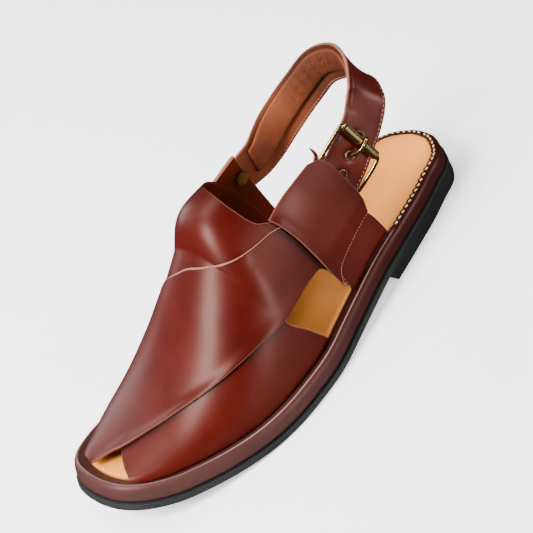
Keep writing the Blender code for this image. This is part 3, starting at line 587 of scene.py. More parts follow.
def tabRelief(s, r, t, fromFront, fromBack):
    # the front edge stands off the strap and a thumb-wide dip crosses the middle
    front = tab["frontLift"] * np.exp(-(fromFront / 0.006) ** 2) * smooth(s, 0.02, 0.15) * (1 - smooth(s, 0.62, 0.86))
    return front - tab["dip"] * np.exp(-((s - 0.70) / 0.16) ** 2 - ((r - 0.55) / 0.4) ** 2)


tab["relief"] = tabRelief
leatherSheet("outerTab", tabEdges, tabInner, tabOuter, tab, [upperLeather, upperLeather], "buckle_tab")
tabLow = last["strapLeather"] + last["gap"]
leatherSheet("innerTab", medialEdges, tabLow, tabLow + innerTab["thick"], innerTab, [upperLeather, upperLeather],
             "medial_tab")

print("straps ready")

# the sole: profiles of (inset, height) carried round the plan

sole = {"stations": 2400, "scallop": 0.0010, "stitchPitch": 0.0041, "stitchInset": 0.0039, "heelWrapEnd": 0.242,
        "wrapFade": 0.012, "stitchDent": 0.0003}


def frontShare(u):
    # nought over the heel's flat wrap, one over the rolled ridge in front of it
    return smooth(u / last["length"], sole["heelWrapEnd"] - sole["wrapFade"], sole["heelWrapEnd"] + sole["wrapFade"])


def sweepPlan(name, profile, mats, node):
    # carries a closed profile round the plan: profile(u, reach) gives insets and heights per station
    step = np.linspace(0, len(planPath), sole["stations"], endpoint=False)
    low = np.floor(step).astype(int)
    part = (step - low)[:, None]
    path, out = (a[low % len(a)] * (1 - part) + a[(low + 1) % len(a)] * part for a in (planPath, planOut))
    reach = np.interp(step, np.arange(len(planPath)), planReach)
    inset, height, values = profile(path[:, 1], reach)
    spot = path[:, None] - unit(out)[:, None] * inset[..., None]
    faces = gridFaces(len(step), inset.shape[1], wrapRows=True, wrapCols=True)
    return makePiece(name, soleFrame(spot[..., 0], spot[..., 1], height), faces, mats, values, node=node)


# the rand's profile from the recess out and up, as (inset, height under the footbed's level) in millimetres
randFoot = [(14.0, -2.9), (14.0, -9.1), (1.6, -9.35), (1.1, -9.2), (0.85, -8.6), (0.65, -7.0), (0.60, -5.0)]
randFront = np.array(randFoot + [
    (0.70, -3.4), (1.00, -2.0), (1.50, -1.0), (2.10, -0.35), (2.60, 0.02), (2.95, 0.22), (3.20, 0.32), (3.45, 0.24),
    (3.80, 0.06), (4.40, -0.20), (5.30, -0.48), (6.60, -0.85), (8.20, -1.30), (9.60, -1.80), (11.5, -2.45)]) / 1000
randHeel = np.array(randFoot + [
    (0.75, -3.4), (1.05, -2.2), (1.50, -1.35), (2.00, -0.75), (2.50, -0.38), (3.00, -0.14), (3.50, 0.02),
    (4.00, 0.12), (4.40, 0.17), (4.90, 0.19), (5.45, 0.16), (5.75, 0.05), (5.95, -0.25), (6.05, -0.90),
    (6.07, -1.50)]) / 1000


def randProfile(u, reach):
    # in front: upright side, rolled ridge, slope down to the straps; at the heel: flat wrap with a scalloped edge
    top = last["footbed"]
    w = frontShare(u)[:, None]
    inset = randHeel[None, :, 0] * (1 - w) + randFront[None, :, 0] * w
    height = top + randHeel[None, :, 1] * (1 - w) + randFront[None, :, 1] * w
    wave = (0.5 - 0.5 * np.cos(2 * np.pi * reach / sole["stitchPitch"]))[:, None]
    bite = np.array([0] * 16 + [0.2, 0.6, 1, 1, 1, 1])
    inset = inset + (1 - w) * sole["scallop"] * (wave - 0.7) * bite

    def seam(reach):
        # a dent between the scallops where each stitch goes in
        return (1 - wave) ** 2 * np.exp(-((inset - sole["stitchInset"]) / reach) ** 2)

    height = height - (1 - w) * sole["stitchDent"] * seam(0.0009)
    toeFade = 1 - smooth(u / last["length"], 0.70, 0.92)
    # painted highlight: a pale line along the rolled ridge, fainter towards the toe, kept in the cut value
    ridge = np.exp(-((inset - 0.0032) / 0.00030) ** 2) * w * (0.25 + 0.45 * toeFade)[:, None]
    pale = ridge * (height > top - 0.001)
    # painted shade: dark down the slope into the groove beside the straps, and at the heel along the scalloped edge
    # and in each stitch dent
    dim = smooth(inset, 0.0082, 0.0094) * w * 0.9 + (1 - w) * np.maximum(0.45 * bite, 0.9 * seam(0.0008))
    # painted shade: darker towards the heel
    heelwardShade = (1 - smooth(u / last["length"], 0.2, 0.8))[:, None] * np.ones_like(inset)
    return inset, height, {"cut": np.clip(pale, 0, 1), "dim": np.clip(dim, 0, 1), "heelwardShade": heelwardShade}


sweepPlan("randWrap", randProfile, [randLeather], "midsole_rand")


def fillPlan(name, insets, heights, mats, node, values, count=600, rings=14, shape=None):
    # a plate that fills the plan: rings out under it, up its wall of (inset, height) rows, and in over it
    step = np.linspace(0, len(planPath), count, endpoint=False).astype(int)
    path, out = planPath[step], planOut[step]
    wall = []
    for inset in insets:
        depth = inset(path[:, 1])[:, None] if callable(inset) else inset
        wall.append(path - out * depth)

    def inwards(rim, w):
        # a share w of the way from the rim to the line midway between the sole's sides
        u = np.clip(rim[:, 1], 0.032, last["length"] - 0.045)
        side = (footRows[:, 2] - footRows[:, 1]) / 2 * last["width"]
        return rim * (1 - w) + np.column_stack([np.interp(u, footRows[:, 0] * last["length"], side), u]) * w

    shares = np.linspace(0, 0.985, rings + 1)[1:]
    spots = np.stack([inwards(wall[0], w) for w in shares[::-1]] + wall + [inwards(wall[-1], w) for w in shares])
    level = np.concatenate([[heights[0]] * rings, heights, [heights[-1]] * rings])[:, None] * np.ones((1, count))
    if shape is not None:
        level[-rings:] += shape(spots[-rings:])
    return makePiece(name, soleFrame(spots[..., 0], spots[..., 1], level), tubeFaces(len(spots), count), mats,
                     {"dim": values(spots, level)}, node=node)


insole = {"inset": 0.0092, "heelInset": 0.0055, "low": -0.0021, "top": -0.0002, "edge": 0.0005, "dish": 0.0006}
bed = last["footbed"]


def insoleDish(spot):
    # a soft hollow under the heel and the ball, each a bell of its own width along and across
    u, x = spot[..., 1] / last["length"], spot[..., 0] / last["width"]
    heel = np.exp(-((u - 0.13) / 0.07) ** 2 - (x / 0.16) ** 2)
    ball = np.exp(-((u - 0.70) / 0.10) ** 2 - (x / 0.26) ** 2)
    return -insole["dish"] * (heel + ball)


def insoleInset(u, more=0.0):
    # nearer to the edge at the heel, where the rand's wrap ends sooner
    w = frontShare(u)
    return insole["heelInset"] * (1 - w) + insole["inset"] * w + more


def insoleShade(spots, level):
    # the rim in the groove beside the rand is dark in front of the heel wrap
    return 0.95 * (level < bed + insole["top"] - 0.0001) * smooth(spots[..., 1] / last["length"], 0.24, 0.27)


fillPlan("footbedLeather", [insoleInset, insoleInset, lambda u: insoleInset(u, insole["edge"])],
         [bed + insole["low"], bed + insole["top"] - insole["edge"], bed + insole["top"]], [insoleLeather],
         "insole", insoleShade, shape=insoleDish)

# rows of the rubber sole's wall from its underside up, as (inset, height) in millimetres
outsoleWall = np.array([(1.0, 0.0), (0.45, 0.12), (0.12, 0.45), (0.0, 0.9), (0.0, 2.4), (0.0, 3.5), (0.10, 4.05),
                        (0.35, 4.35), (0.95, 4.50), (1.05, 4.85), (3.0, 5.0)]) / 1000


def outsoleShade(spots, level):
    # black in the joint under the rand, and darker where the heel block carries it
    overHeel = 0.75 * (1 - smooth(spots[..., 1], 0.060, 0.100)) * (level < 0.0038)
    return np.maximum(smooth(level, 0.0041, 0.0045), overHeel)


fillPlan("outsoleWall", list(outsoleWall[:, 0]), list(outsoleWall[:, 1]), [soleRubber], "outsole",
         outsoleShade, count=1200)

# the rows run from the floor up, as (share of the height, how far in)
heel = {"breast": 0.296, "slant": 0.0045, "inset": 0.0006,
        "rows": ((0.0, 0.0006), (0.0, 0.00015), (0.06, 0.0), (0.5, 0.0), (0.9, 0.0), (1.0, 0.0002))}


def makeHeel():
    # the block under the seat: slanted breast, sides that follow the plan, softened floor edge
    loop = planPath - planOut * heel["inset"]
    turn = len(planPath) // 2
    # u rises from point to point as far as the ball of the foot and beyond
    rising = turn - 20
    outer, inner = loop[:rising], np.vstack([loop[:1], loop[:turn:-1]])[:rising]
    rows = []
    for level, soft in heel["rows"]:
        breast = heel["breast"] * last["length"] + heel["slant"] * level - soft
        u = breast * (1 - np.cos(np.linspace(0, np.pi / 2, 70)))
        back = loop[0, 1] + soft
        u = back + (breast - back) * u / breast
        xOut = np.interp(u, outer[:, 1], outer[:, 0]) - soft
        xIn = np.interp(u, inner[:, 1], inner[:, 0]) + soft
        x, u = np.concatenate([xOut, xIn[::-1]]), np.concatenate([u, u[::-1]])
        z = (soleRise(u) - last["gap"]) * level
        rows.append(np.stack([x + shiftX, last["length"] / 2 - u, z], -1))
    makePiece("heelBlock", np.stack(rows), tubeFaces(len(rows), len(rows[0])), [heelRubber], sharp=35,
              node="heel_block")


makeHeel()
print("sole ready")

# the heel strap: its own frame of place, run, down and out along the middle line

strap = {"width": 0.0245, "flare": 0.0022, "thick": 0.0022, "rise": 0.101, "padStart": 0.097, "padEnd": 0.66,
         "padThick": 0.0024, "barBack": 0.0126, "buckleReach": 0.030, "eyeletBack": 0.008, "eyeletPitch": 0.0112,
         "rivetBack": 0.0072, "bendShade": 0.75, "groove": 0.00016, "eyeletDent": 0.00045}
tabThick, gap = innerTab["thick"], last["gap"]
# place (across, along from the middle, up) as shares, and the direction to the strap's lower edge
strapRows = np.array([
    (-0.293, 0.295, 0.733, 0.04, 0.00, -0.99),
    (-0.272, 0.219, 0.812, 0.38, 0.09, -0.92), (-0.210, 0.149, 0.905, 0.42, 0.09, -0.90),
    (-0.118, 0.103, 0.988, 0.37, 0.04, -0.93), (-0.009, 0.085, 1.000, 0.34, -0.05, -0.94),
    (0.093, 0.089, 0.972, 0.36, -0.14, -0.92), (0.176, 0.111, 0.906, 0.36, -0.16, -0.92),
    (0.217, 0.153, 0.820, 0.32, -0.13, -0.94), (0.246, 0.208, 0.765, 0.29, -0.07, -0.95)])


def strapPath():
    # from the inner tab round the heel to the seat under the outer tab
    low = last["strapLeather"] + gap + tabThick + gap + strap["thick"] / 2
    seat = last["strapTop"] - gap - strap["thick"] / 2
    points, downs = [], []

    def onLast(t, along, offset, sign):
        # a row on the last's surface, with the way round it as the way down
        u = along * last["length"]
        points.append(lastPoint(t, u, offset))
        downs.append(unit(lastPoint(t + 0.03, u, offset) - lastPoint(t - 0.03, u, offset)) * sign)

    onLast(0.185, 0.352, low, -1)
    onLast(0.185, 0.314, low, -1)
    for x, u, z, dx, du, dz in strapRows:
        points.append(np.array([x * last["width"] + shiftX, last["length"] * (0.5 - u), z * strap["rise"]]))
        downs.append(np.array([dx, -du, dz]))
    onLast(0.845, 0.268, seat, 1)
    onLast(0.845, 0.320, seat, 1)
    points, downs = np.array(points), np.array(downs)
    reach = np.concatenate([[0], np.cumsum(np.linalg.norm(np.diff(points, axis=0), axis=1))])
    return np.column_stack([reach, points, downs])


strapLine = strapPath()
strapLength = strapLine[-1, 0]


def strapFrame(s):
    # at distance s along the middle line: its place, and the directions along, to the lower edge and outwards
    s = np.asarray(s, float)
    here = follow(strapLine, s)
    run = unit(follow(strapLine, s + 0.0005)[..., :3] - follow(strapLine, s - 0.0005)[..., :3])
    down = unit(here[..., 3:] - (here[..., 3:] * run).sum(-1, keepdims=True) * run)
    return here[..., :3], run, down, np.cross(run, down) * flip


flip = 1.0
flip = 1.0 if strapFrame(strapLength / 2)[3][1] > 0 else -1.0


def strapHalf(s):
    # half the width: the middle's, plus half the flare * (distance from the middle as a share) ** 2
    return strap["width"] / 2 + strap["flare"] / 2 * (2 * s / strapLength - 1) ** 2


def bandPoints(s, acrossLow, acrossHigh, low, high, soft, lift, flat, turn):
    # closed loop per station: outer face, lower rounded edge, inner face, upper rounded edge
    # across is in metres from the middle line, height in shares of half the thickness
    steps = np.linspace(0, 1, flat)
    bends = np.radians(np.linspace(0, 180, turn + 2)[1:-1])
    place, _, down, out = strapFrame(s)
    lowSide, inside = acrossLow + soft, acrossHigh - acrossLow - 2 * soft
    sheet = [lowSide + inside * k for k in steps]
    across = np.stack(sheet + [acrossHigh - soft + soft * np.sin(q) for q in bends] + sheet[::-1]
                      + [lowSide - soft * np.sin(q) for q in bends], 1)
    height = np.concatenate([np.ones(flat), np.cos(bends), -np.ones(flat), -np.cos(bends)])
    height = np.broadcast_to(height, across.shape)
    along = np.broadcast_to(s[:, None], across.shape)
    level = (low + high) / 2 + (high - low) / 2 * height + lift(along, across, height)
    points = place[:, None] + down[:, None] * across[..., None] + out[:, None] * level[..., None]
    return points, across, height


def closeBand(points):
    # each end shrinks to a small slit, so that it closes without a big face
    first, final = (ring * 0.02 + ring.mean(0) * 0.98 for ring in (points[0], points[-1]))
    points = np.concatenate([first[None], points, final[None]])
    return points, tubeFaces(*points.shape[:2])


def withEnds(a):
    # a value per point, repeated for the slits at both ends
    return np.concatenate([a[:1], a, a[-1:]])


def bendWindow(s):
    # one where the strap turns round the heel's back, nought along its sides
    share = s / strapLength
    return smooth(share, 0.26, 0.40) * (1 - smooth(share, 0.50, 0.62))


def makeStrap(flat=44, turn=7):
    # the strap itself: rounded ends, pale cut edges, lining on its inner face, a pressed line beside the stitches
    s = np.concatenate([np.linspace(0, 0.009, 16), np.linspace(0.010, strapLength - 0.010, 330),
                        np.linspace(strapLength - 0.009, strapLength, 16)])
    half = strapHalf(s)
    for end in (s, strapLength - s):
        near = np.clip(end / (strap["width"] * 0.3), 0, 1)
        half = np.minimum(half, strapHalf(s) * (0.62 + 0.38 * np.sqrt(1 - (1 - near) ** 2)))

    def lift(along, across, height):
        # a pressed groove along both edges, and a bell-shaped dent round each eyelet
        edge = half[:, None] - np.abs(across)
        groove = -strap["groove"] * np.exp(-((edge - 0.0026) / 0.0005) ** 2) * np.sign(height)
        groove = groove * (np.abs(height) > 0.99)
        dents = 0.0
        for spot in eyeletSpots:
            away = np.clip(np.hypot(along - spot, across) - 0.0024, 0, None)
            dents = dents - strap["eyeletDent"] * np.exp(-(away / 0.0016) ** 2) * (height > 0.99)
        return groove + dents

    points, across, height = bandPoints(s, -half, half, -strap["thick"] / 2, strap["thick"] / 2, 0.0006, lift,
                                        flat, turn)
    points, faces = closeBand(points)
    cut = (np.abs(height) < 0.985) * np.clip(1.25 - np.abs(height) * 0.9, 0, 1) * 0.55
    edge = half[:, None] - np.abs(across)
    bend = strap["bendShade"] * bendWindow(s)[:, None] * (height < 0)
    dim = np.clip(0.3 * np.exp(-edge / 0.0018) * (np.abs(height) > 0.98) + bend, 0, 1)
    lined = np.zeros(across.shape[1], int)
    lined[flat + turn:2 * flat + turn - 1] = 1
    faceMat = np.zeros(len(faces), int)
    faceMat[:(len(s) + 1) * len(lined)] = np.tile(lined, len(s) + 1)
    makePiece("heelStrap", points, faces, [upperLeather, liningLeather], {"cut": withEnds(cut), "dim": withEnds(dim)},
              faceMat, node="heel_strap")


barSpot = strapLength - strap["barBack"]
rollerSpot = barSpot - strap["buckleReach"]
eyeletSpots = [rollerSpot + strap["eyeletBack"] + k * strap["eyeletPitch"] for k in (1, 0, -1)]
makeStrap()

pad = {"upper": 0.80, "lower": 0.42, "pleat": 0.00022, "pitch": 0.0017, "crown": 0.0007, "endSoft": 0.0012}


def makePad():
    # the lining pad: crowned, with pleats pressed in where the strap bends, and painted shade along its lower seam and
    # where the strap bends
    first, final = strapLength * strap["padStart"], strapLength * strap["padEnd"]
    ends = np.array([0, 0.05, 0.15, 0.35, 0.65, 1.0]) * pad["endSoft"]
    s = np.concatenate([first + ends, np.linspace(first + 0.0016, final - 0.0016, 620), final - ends[::-1]])
    inner = -strap["thick"] / 2 - 0.0002
    half = strapHalf(s)

    def lift(along, across, height):
        # pleats: a sine of the wandering length, each as deep as a second sine says
        w = (across + pad["upper"] * half[:, None]) / ((pad["upper"] + pad["lower"]) * half[:, None])
        w = np.clip(w, 0, 1)
        face = (height < 0).astype(float)
        crown = -pad["crown"] * (np.sin(np.pi * w) ** 0.6) * face
        share = along / strapLength
        window = smooth(share, 0.24, 0.34) * (1 - smooth(share, 0.47, 0.56))
        wander = 0.0006 * np.sin(w * 5.0 + along * 900) + 0.0004 * np.sin(w * 11 + along * 2300)
        depth = pad["pleat"] * np.sin(2 * np.pi * (along + wander) / pad["pitch"])
        depth = depth * (0.6 + 0.4 * np.sin(along * 1100 + w * 3))
        pleats = depth * window * face * np.sin(np.pi * np.clip(w, 0.04, 0.96)) ** 0.5
        fade = smooth(along, first, first + 0.003) * (1 - smooth(along, final - 0.003, final))
        near = np.clip(np.minimum(along - first, final - along) / pad["endSoft"], 0.002, 1)
        thin = 1 - np.sqrt(1 - (1 - near) ** 2)
        return (crown + pleats) * fade + strap["padThick"] * 0.76 * thin * face

    points, across, height = bandPoints(s, -pad["upper"] * half, pad["lower"] * half,
                                        inner - strap["padThick"] * 0.78, inner, 0.0009, lift, 48, 7)
    points, faces = closeBand(points)
    # painted shade along the lower seam, and on the inner face where the strap bends round the heel
    dim = 0.55 * np.exp(-np.clip(pad["lower"] * half[:, None] - across, 0, 1) / 0.0009)
    dim = np.clip(dim + strap["bendShade"] * bendWindow(s)[:, None] * (height < 0), 0, 1)
    made = makePiece("strapPad", points, faces, [liningLeather], {"dim": withEnds(dim)},
                     node="strap_pad")


makePad()
print("heel strap ready")

# stitches: small closed beads of thread laid along a row


def stitchRow(name, centres, runs, outs, length, radius, mat, sunk, lean=0.0):
    # each stitch is an ellipsoid grid, longest along the run, turned by lean about the surface normal
    side = unit(np.cross(outs, runs))
    runs = unit(np.cross(side, outs))
    along = runs * np.cos(lean) + side * np.sin(lean)
    side = side * np.cos(lean) - runs * np.sin(lean)
    rows, cols = 9, 10
    a, b = np.meshgrid(np.linspace(0, np.pi, rows), np.linspace(0, 2 * np.pi, cols, endpoint=False), indexing="ij")
    thick = np.sin(a) ** 0.7 * radius
    shifts = -np.cos(a) * length / 2, thick * np.cos(b), thick * np.sin(b)
    points = (centres - outs * radius * sunk)[:, None, None]
    for way, shift in zip((along, side, outs), shifts):
        points = points + way[:, None, None] * shift[None, ..., None]
    faces = gridFaces(rows, cols, wrapCols=True) + (np.arange(len(centres)) * rows * cols)[:, None, None]
    makePiece(name, points, faces.reshape(-1, 4), [mat])


def heelStitches():
    # thick cream stitches along the scalloped wrap, from the outer waist round the heel to the inner one
    total = planReach[-1] + planReach[1]
    x, u, ox, ou = planAt((np.arange(int(total / sole["stitchPitch"])) + 0.5) * sole["stitchPitch"])
    keep = u / last["length"] < sole["heelWrapEnd"] - 0.010
    x, u, ox, ou = x[keep], u[keep], ox[keep], ou[keep]
    inset = sole["stitchInset"]

    def spot(d, n):
        # inset d from the plan, n above the footbed's level
        return soleFrame(x - ox * d, u - ou * d, bed + n)

    out = unit(spot(inset, 0.001) - spot(inset, 0.0))
    run = unit(np.cross(out, spot(inset + 0.001, 0.0) - spot(inset, 0.0)))
    stitchRow("heelStitches", spot(inset, 0.00010), run, out, 0.0022, 0.00056, thread, 0.0, -0.30)


def edgeStitches(pitch=0.0021, inset=0.0016):
    # small seam stitches along the heel strap's lower edge, inside and outside
    s = np.arange(0.006, strapLength - 0.012, pitch)
    place, run, down, out = strapFrame(s)
    row = place + down * (strapHalf(s) - inset)[:, None]
    centres = [row + out * (face * (strap["thick"] / 2 + 0.00002)) for face in (1, -1)]
    stitchRow("strapStitches", np.vstack(centres), np.vstack([run, run]), np.vstack([out, -out]), 0.0014, 0.00022,
              seamThread, 0.1)


def tabStitches(across=26, down=6):
    # the seam across the tab's lower end, then down beside its front edge
    t, u = patchPoint(tabEdges, np.full(across, 0.985), np.linspace(0.02, 0.98, across))
    t = np.concatenate([t, np.linspace(0.962, 0.992, down)])
    u = np.concatenate([u, np.linspace(0.378, 0.384, down) * last["length"]])
    level = np.concatenate([tabOuter(t[:across], u[:across]), np.full(down, last["strapTop"])])
    centre = lastPoint(t, u, level + 0.00003)
    out = unit(lastPoint(t, u, level + 0.001) - lastPoint(t, u, level))
    run = np.vstack([np.gradient(centre[:across], axis=0), np.gradient(centre[across:], axis=0)])
    stitchRow("tabStitches", centre, run, out, 0.0013, 0.00020, seamThread, 0.1)


def toeBits(count=15):
    # loose ends of the lasting stitches along the rand inside the toe opening
    at = planReach[-1] * np.linspace(0.415, 0.50, count) + random.uniform(-0.0006, 0.0006, count)
    x, u, ox, ou = planAt(at)
    d = 0.0094 + random.uniform(-0.0003, 0.0005, count)

    def spot(d, n):
        # inset d from the plan, n above the footbed's level
        return soleFrame(x - ox * d, u - ou * d, np.full(count, bed + n))

    centre = spot(d, insole["top"] + 0.0002)
    run = unit(spot(d + 0.001, 0.0) - spot(d, 0.0))
    run = unit(run + random.normal(0, 0.35, run.shape) * [1, 1, 0.2])
    out = np.broadcast_to([0.0, 0.05, 1.0], centre.shape)
    stitchRow("toeBits", centre, run, out, 0.0013, 0.00022, thread, 0.2)


toeBits()
heelStitches()
edgeStitches()
tabStitches()
print("stitches ready")

# metal: turned profiles and bent wire


def squaredRing(count, power):
    # cosines and sines round a circle, each to a power below one, which pushes the circle towards a square
    a = np.linspace(0, 2 * np.pi, count, endpoint=False)
    return [np.sign(v) * np.abs(v) ** power for v in (np.cos(a), np.sin(a))]


def turned(name, profile, origin, axis, sides, node):
    # (radius, height) points carried round an axis through origin; the profile is a closed loop
    profile = np.asarray(profile, float)
    axis = unit(np.asarray(axis, float))
    side = unit(np.cross(axis, [0.3, 0.5, 0.8]))
    a = np.linspace(0, 2 * np.pi, sides, endpoint=False)[:, None]
    ring = side * np.cos(a) + np.cross(axis, side) * np.sin(a)
    points = origin + ring[:, None] * profile[None, :, :1] + axis * profile[None, :, 1:]
    makePiece(name, points, gridFaces(sides, len(profile), wrapRows=True, wrapCols=True), [agedBrass],
              sharp=50, node=node)


def wire(name, path, radius, mat, node, sides=18):
    # round wire along a closed path, its section squashed a little on top and below
    run = unit(np.roll(path, -1, 0) - np.roll(path, 1, 0))
    normal = unit(np.cross(path[0] - path.mean(0), path[len(path) // 4] - path.mean(0)))
    side = unit(np.cross(run, normal))
    up = np.cross(side, run)
    c, s = squaredRing(sides, 0.85)
    points = path[:, None] + radius * (side[:, None] * c[None, :, None] + up[:, None] * s[None, :, None])
    makePiece(name, points, gridFaces(len(path), sides, wrapRows=True, wrapCols=True), [mat], node=node)


eyelet = {"bore": 0.0021, "wall": 0.0005, "flange": 0.0031, "lip": 0.0004}


def makeEyelet(name, spot):
    # a tube through the strap with a rolled flange on both faces
    place, _, _, out = strapFrame(spot)
    face, lip = strap["thick"] / 2 + gap, eyelet["lip"]
    r0, r1, r2 = eyelet["bore"], eyelet["bore"] + eyelet["wall"], eyelet["flange"]
    top = [(r0, face - 0.0006), (r0 + 0.00015, face + lip * 0.45), (r0 + 0.0004, face + lip),
           (r2 - 0.0004, face + lip * 0.9), (r2 - 0.0001, face + lip * 0.4), (r2, face - 0.0004), (r1, face - 0.0004)]
    turned(name + "_ring", top + [(r, -h) for r, h in top[::-1]], place, out, 48, name)


for name, spot in zip(("eyelet_front", "eyelet_middle", "eyelet_back"), eyeletSpots):
    makeEyelet(name, spot)


def makeRivet(r=0.0044, shift=0.0022):
    # low domed head on the inner side with a pressed ring, small cap on the outer side
    place, _, down, out = strapFrame(strap["rivetBack"])
    head = -strap["thick"] / 2 - gap - tabThick - gap * 2.5
    cap = strap["thick"] / 2 + gap
    dome = [(0.00002, 0.0012), (r * 0.30, 0.00118), (r * 0.55, 0.00105), (r * 0.66, 0.00090), (r * 0.72, 0.00094),
            (r * 0.88, 0.00062), (r * 0.97, 0.00034), (r, 0.0001), (r * 0.97, 0), (0.0014, 0)]
    profile = [(radius, head - h) for radius, h in dome] + [
        (0.0014, cap), (r * 0.78, cap), (r * 0.80, cap + 0.0003), (r * 0.62, cap + 0.0008), (r * 0.3, cap + 0.0011),
        (0.00002, cap + 0.0011)]
    turned("strapRivet", profile, place - down * shift, out, 56, "strap_rivet")


makeRivet()

buckle = {"wire": 0.0012, "roller": 0.0028, "corner": 0.0030, "bow": 0.0004, "endGap": 0.0004, "chape": 0.0009,
          "prongWide": 0.0026, "prongThick": 0.0015, "prongRing": 0.0011, "prongLean": 0.2, "turn": 0.19,
          "rollerRoom": 0.0012}


def buckleFrame():
    # the bar's middle, its direction and the way out there; then the same for the roller, a little askew
    barPlace, _, barDown, barOut = strapFrame(barSpot)
    rollPlace, rollRun, rollDown, rollOut = strapFrame(rollerSpot)
    rollDown = rollDown * np.cos(buckle["turn"]) + rollRun * np.sin(buckle["turn"])
    bar = barPlace - barOut * (strap["thick"] / 2 + eyelet["lip"] + gap + buckle["chape"] + gap + buckle["wire"])
    roll = rollPlace + rollOut * (strap["thick"] / 2 + eyelet["lip"] + gap * 2 + buckle["roller"])
    return bar, barDown, barOut, roll, rollDown, rollOut


def makeFrame():
    # the wire runs from the bar beside the strap to the roller's axle, with rounded corners
    bar, _, barOut, roll, rollDown, rollOut = buckleFrame()
    halfWidth = strapHalf(barSpot) + gap * 2 + buckle["wire"] + buckle["bow"]
    barLevel, rollLevel = (bar - strapFrame(barSpot)[0]) @ barOut, (roll - strapFrame(rollerSpot)[0]) @ rollOut
    sides = []
    for share in (0.0, 0.35, 0.70):
        place, _, down, out = strapFrame(barSpot + (rollerSpot - barSpot) * share)
        sides.append((place + out * (barLevel + (rollLevel - barLevel) * share), down * halfWidth))
    sides.append((roll, rollDown * (strap["width"] / 2 + buckle["wire"] + buckle["rollerRoom"])))
    corners = [p + d for p, d in sides] + [p - d for p, d in sides[::-1]]
    path = []
    for k, here in enumerate(corners):
        soft = buckle["corner"] * (0.55 if k in (3, 4) else 1.0)
        a = here + unit(corners[k - 1] - here) * soft
        b = here + unit(corners[(k + 1) % len(corners)] - here) * soft
        w = np.linspace(0, 1, 9)[:, None]
        path.append((1 - w) ** 2 * a + 2 * w * (1 - w) * here + w * w * b)
    wire("buckleWire", np.vstack(path), buckle["wire"], brass, "buckle_frame")


makeFrame()


def makeRoller():
    # folded tube with flat facets and a raised seam, open at both ends
    _, _, _, roll, rollDown, rollOut = buckleFrame()
    reach = strap["width"] / 2 + buckle["rollerRoom"] - buckle["endGap"] - 0.0003
    r, bore = buckle["roller"], buckle["wire"] + gap
    side = unit(np.cross(rollDown, rollOut))
    a = np.linspace(0, 2 * np.pi, 60, endpoint=False)
    facet = np.cos((a + np.pi / 9) % (2 * np.pi / 9) - np.pi / 9)
    radius = np.minimum(r * 0.955 / facet, r) + 0.00022 * np.exp(-((a - 2.2) / 0.08) ** 2)
    ring = side * np.cos(a)[:, None] + unit(rollOut) * np.sin(a)[:, None]
    half = [(bore, reach - 0.0002), (bore + 0.0004, reach), (radius * 0.95, reach), (radius, reach - 0.0003)]
    rings = [(size, -h) for size, h in half] + half[::-1]
    points = np.stack([roll + rollDown * h + ring * (size * np.ones_like(a))[:, None] for size, h in rings])
    makePiece("buckleRoller", points, gridFaces(len(rings), len(a), wrapRows=True, wrapCols=True), [brass],
              sharp=14, node="buckle_roller")


makeRoller()


def makeProng():
    # bent bar: hooks round the bar, up through the middle eyelet, over the roller, its tip rounded
    bar, barDown, out, roll, rollDown, _ = buckleFrame()
    holePlace, _, _, holeOut = strapFrame(eyeletSpots[1])
    hole = holePlace - bar
    along = unit(hole - (hole @ out) * out)
    across = np.cross(along, out)
    across = across * np.sign(across @ barDown)
    over = roll - rollDown * (((roll - bar) @ across) / (rollDown @ across)) - bar
    holeX, holeN, rollX, rollN = hole @ along, hole @ out, over @ along, over @ out
    r = buckle["roller"]
    seat = rollN + r + gap * 2 + buckle["prongThick"] / 2
    hook = buckle["wire"] + gap
    lean = unit(np.array([holeOut @ along + buckle["prongLean"], holeOut @ out]))
    leanX, leanN = lean * (strap["thick"] / 2 + eyelet["lip"])
    bends = np.radians([-200.0, -160.0, -120.0, -80.0, -40.0])
    ringR = hook + buckle["prongRing"] / 2
    line = [(ringR * np.cos(v), ringR * np.sin(v)) for v in bends]
    line += [(ringR * 1.05, 0.0), (hook * 2, buckle["prongRing"] * 0.2),
             (holeX - leanX * 3 - hook, holeN - leanN * 2.2), (holeX - leanX * 1.4, holeN - leanN * 1.4),
             (holeX, holeN), (holeX + leanX * 1.4, holeN + leanN * 1.4),
             (rollX - r * 1.5, seat - buckle["prongThick"] * 0.6), (rollX - r * 0.5, seat), (rollX + r * 0.4, seat),
             (rollX + r * 1.2, seat - buckle["prongThick"] * 0.4)]
    line = np.array(line)
    reach = np.concatenate([[0], np.cumsum(np.hypot(*np.diff(line, axis=0).T))])
    rows, cols = 90, 20
    body = follow(np.column_stack([reach, line]), np.linspace(0, reach[-1], rows), True)
    run = unit(np.gradient(body, axis=0))
    side = np.stack([-run[:, 1], run[:, 0]], 1)
    c, s = squaredRing(cols, 0.6)
    end = np.minimum(np.arange(rows), np.arange(rows)[::-1])
    scale = np.sqrt(np.clip((end + 0.02) / 3.0, 0, 1))
    flat = body[:, None] + side[:, None] * (s[None, :, None] * buckle["prongThick"] / 2) * scale[:, None, None]
    wide = c[None] * buckle["prongWide"] / 2 * scale[:, None]
    points = bar + along * flat[..., :1] + out * flat[..., 1:] + across * wide[..., None]
    makePiece("buckleProng", points, tubeFaces(rows, cols), [brass], node="buckle_prong")


makeProng()

# loose leather ends beside the buckle: (before the bar, across, off the face) from root to tip, in millimetres
tips = [([(10, -18.0, 0.5), (14, -18.6, 1.2), (16.5, -21.0, 2.0), (18, -24.5, 2.2)], 0.0028),
        ([(11, -14.6, 0.6), (14, -14.2, 1.0), (17, -14.6, 1.8), (19, -15.6, 2.2)], 0.0018)]


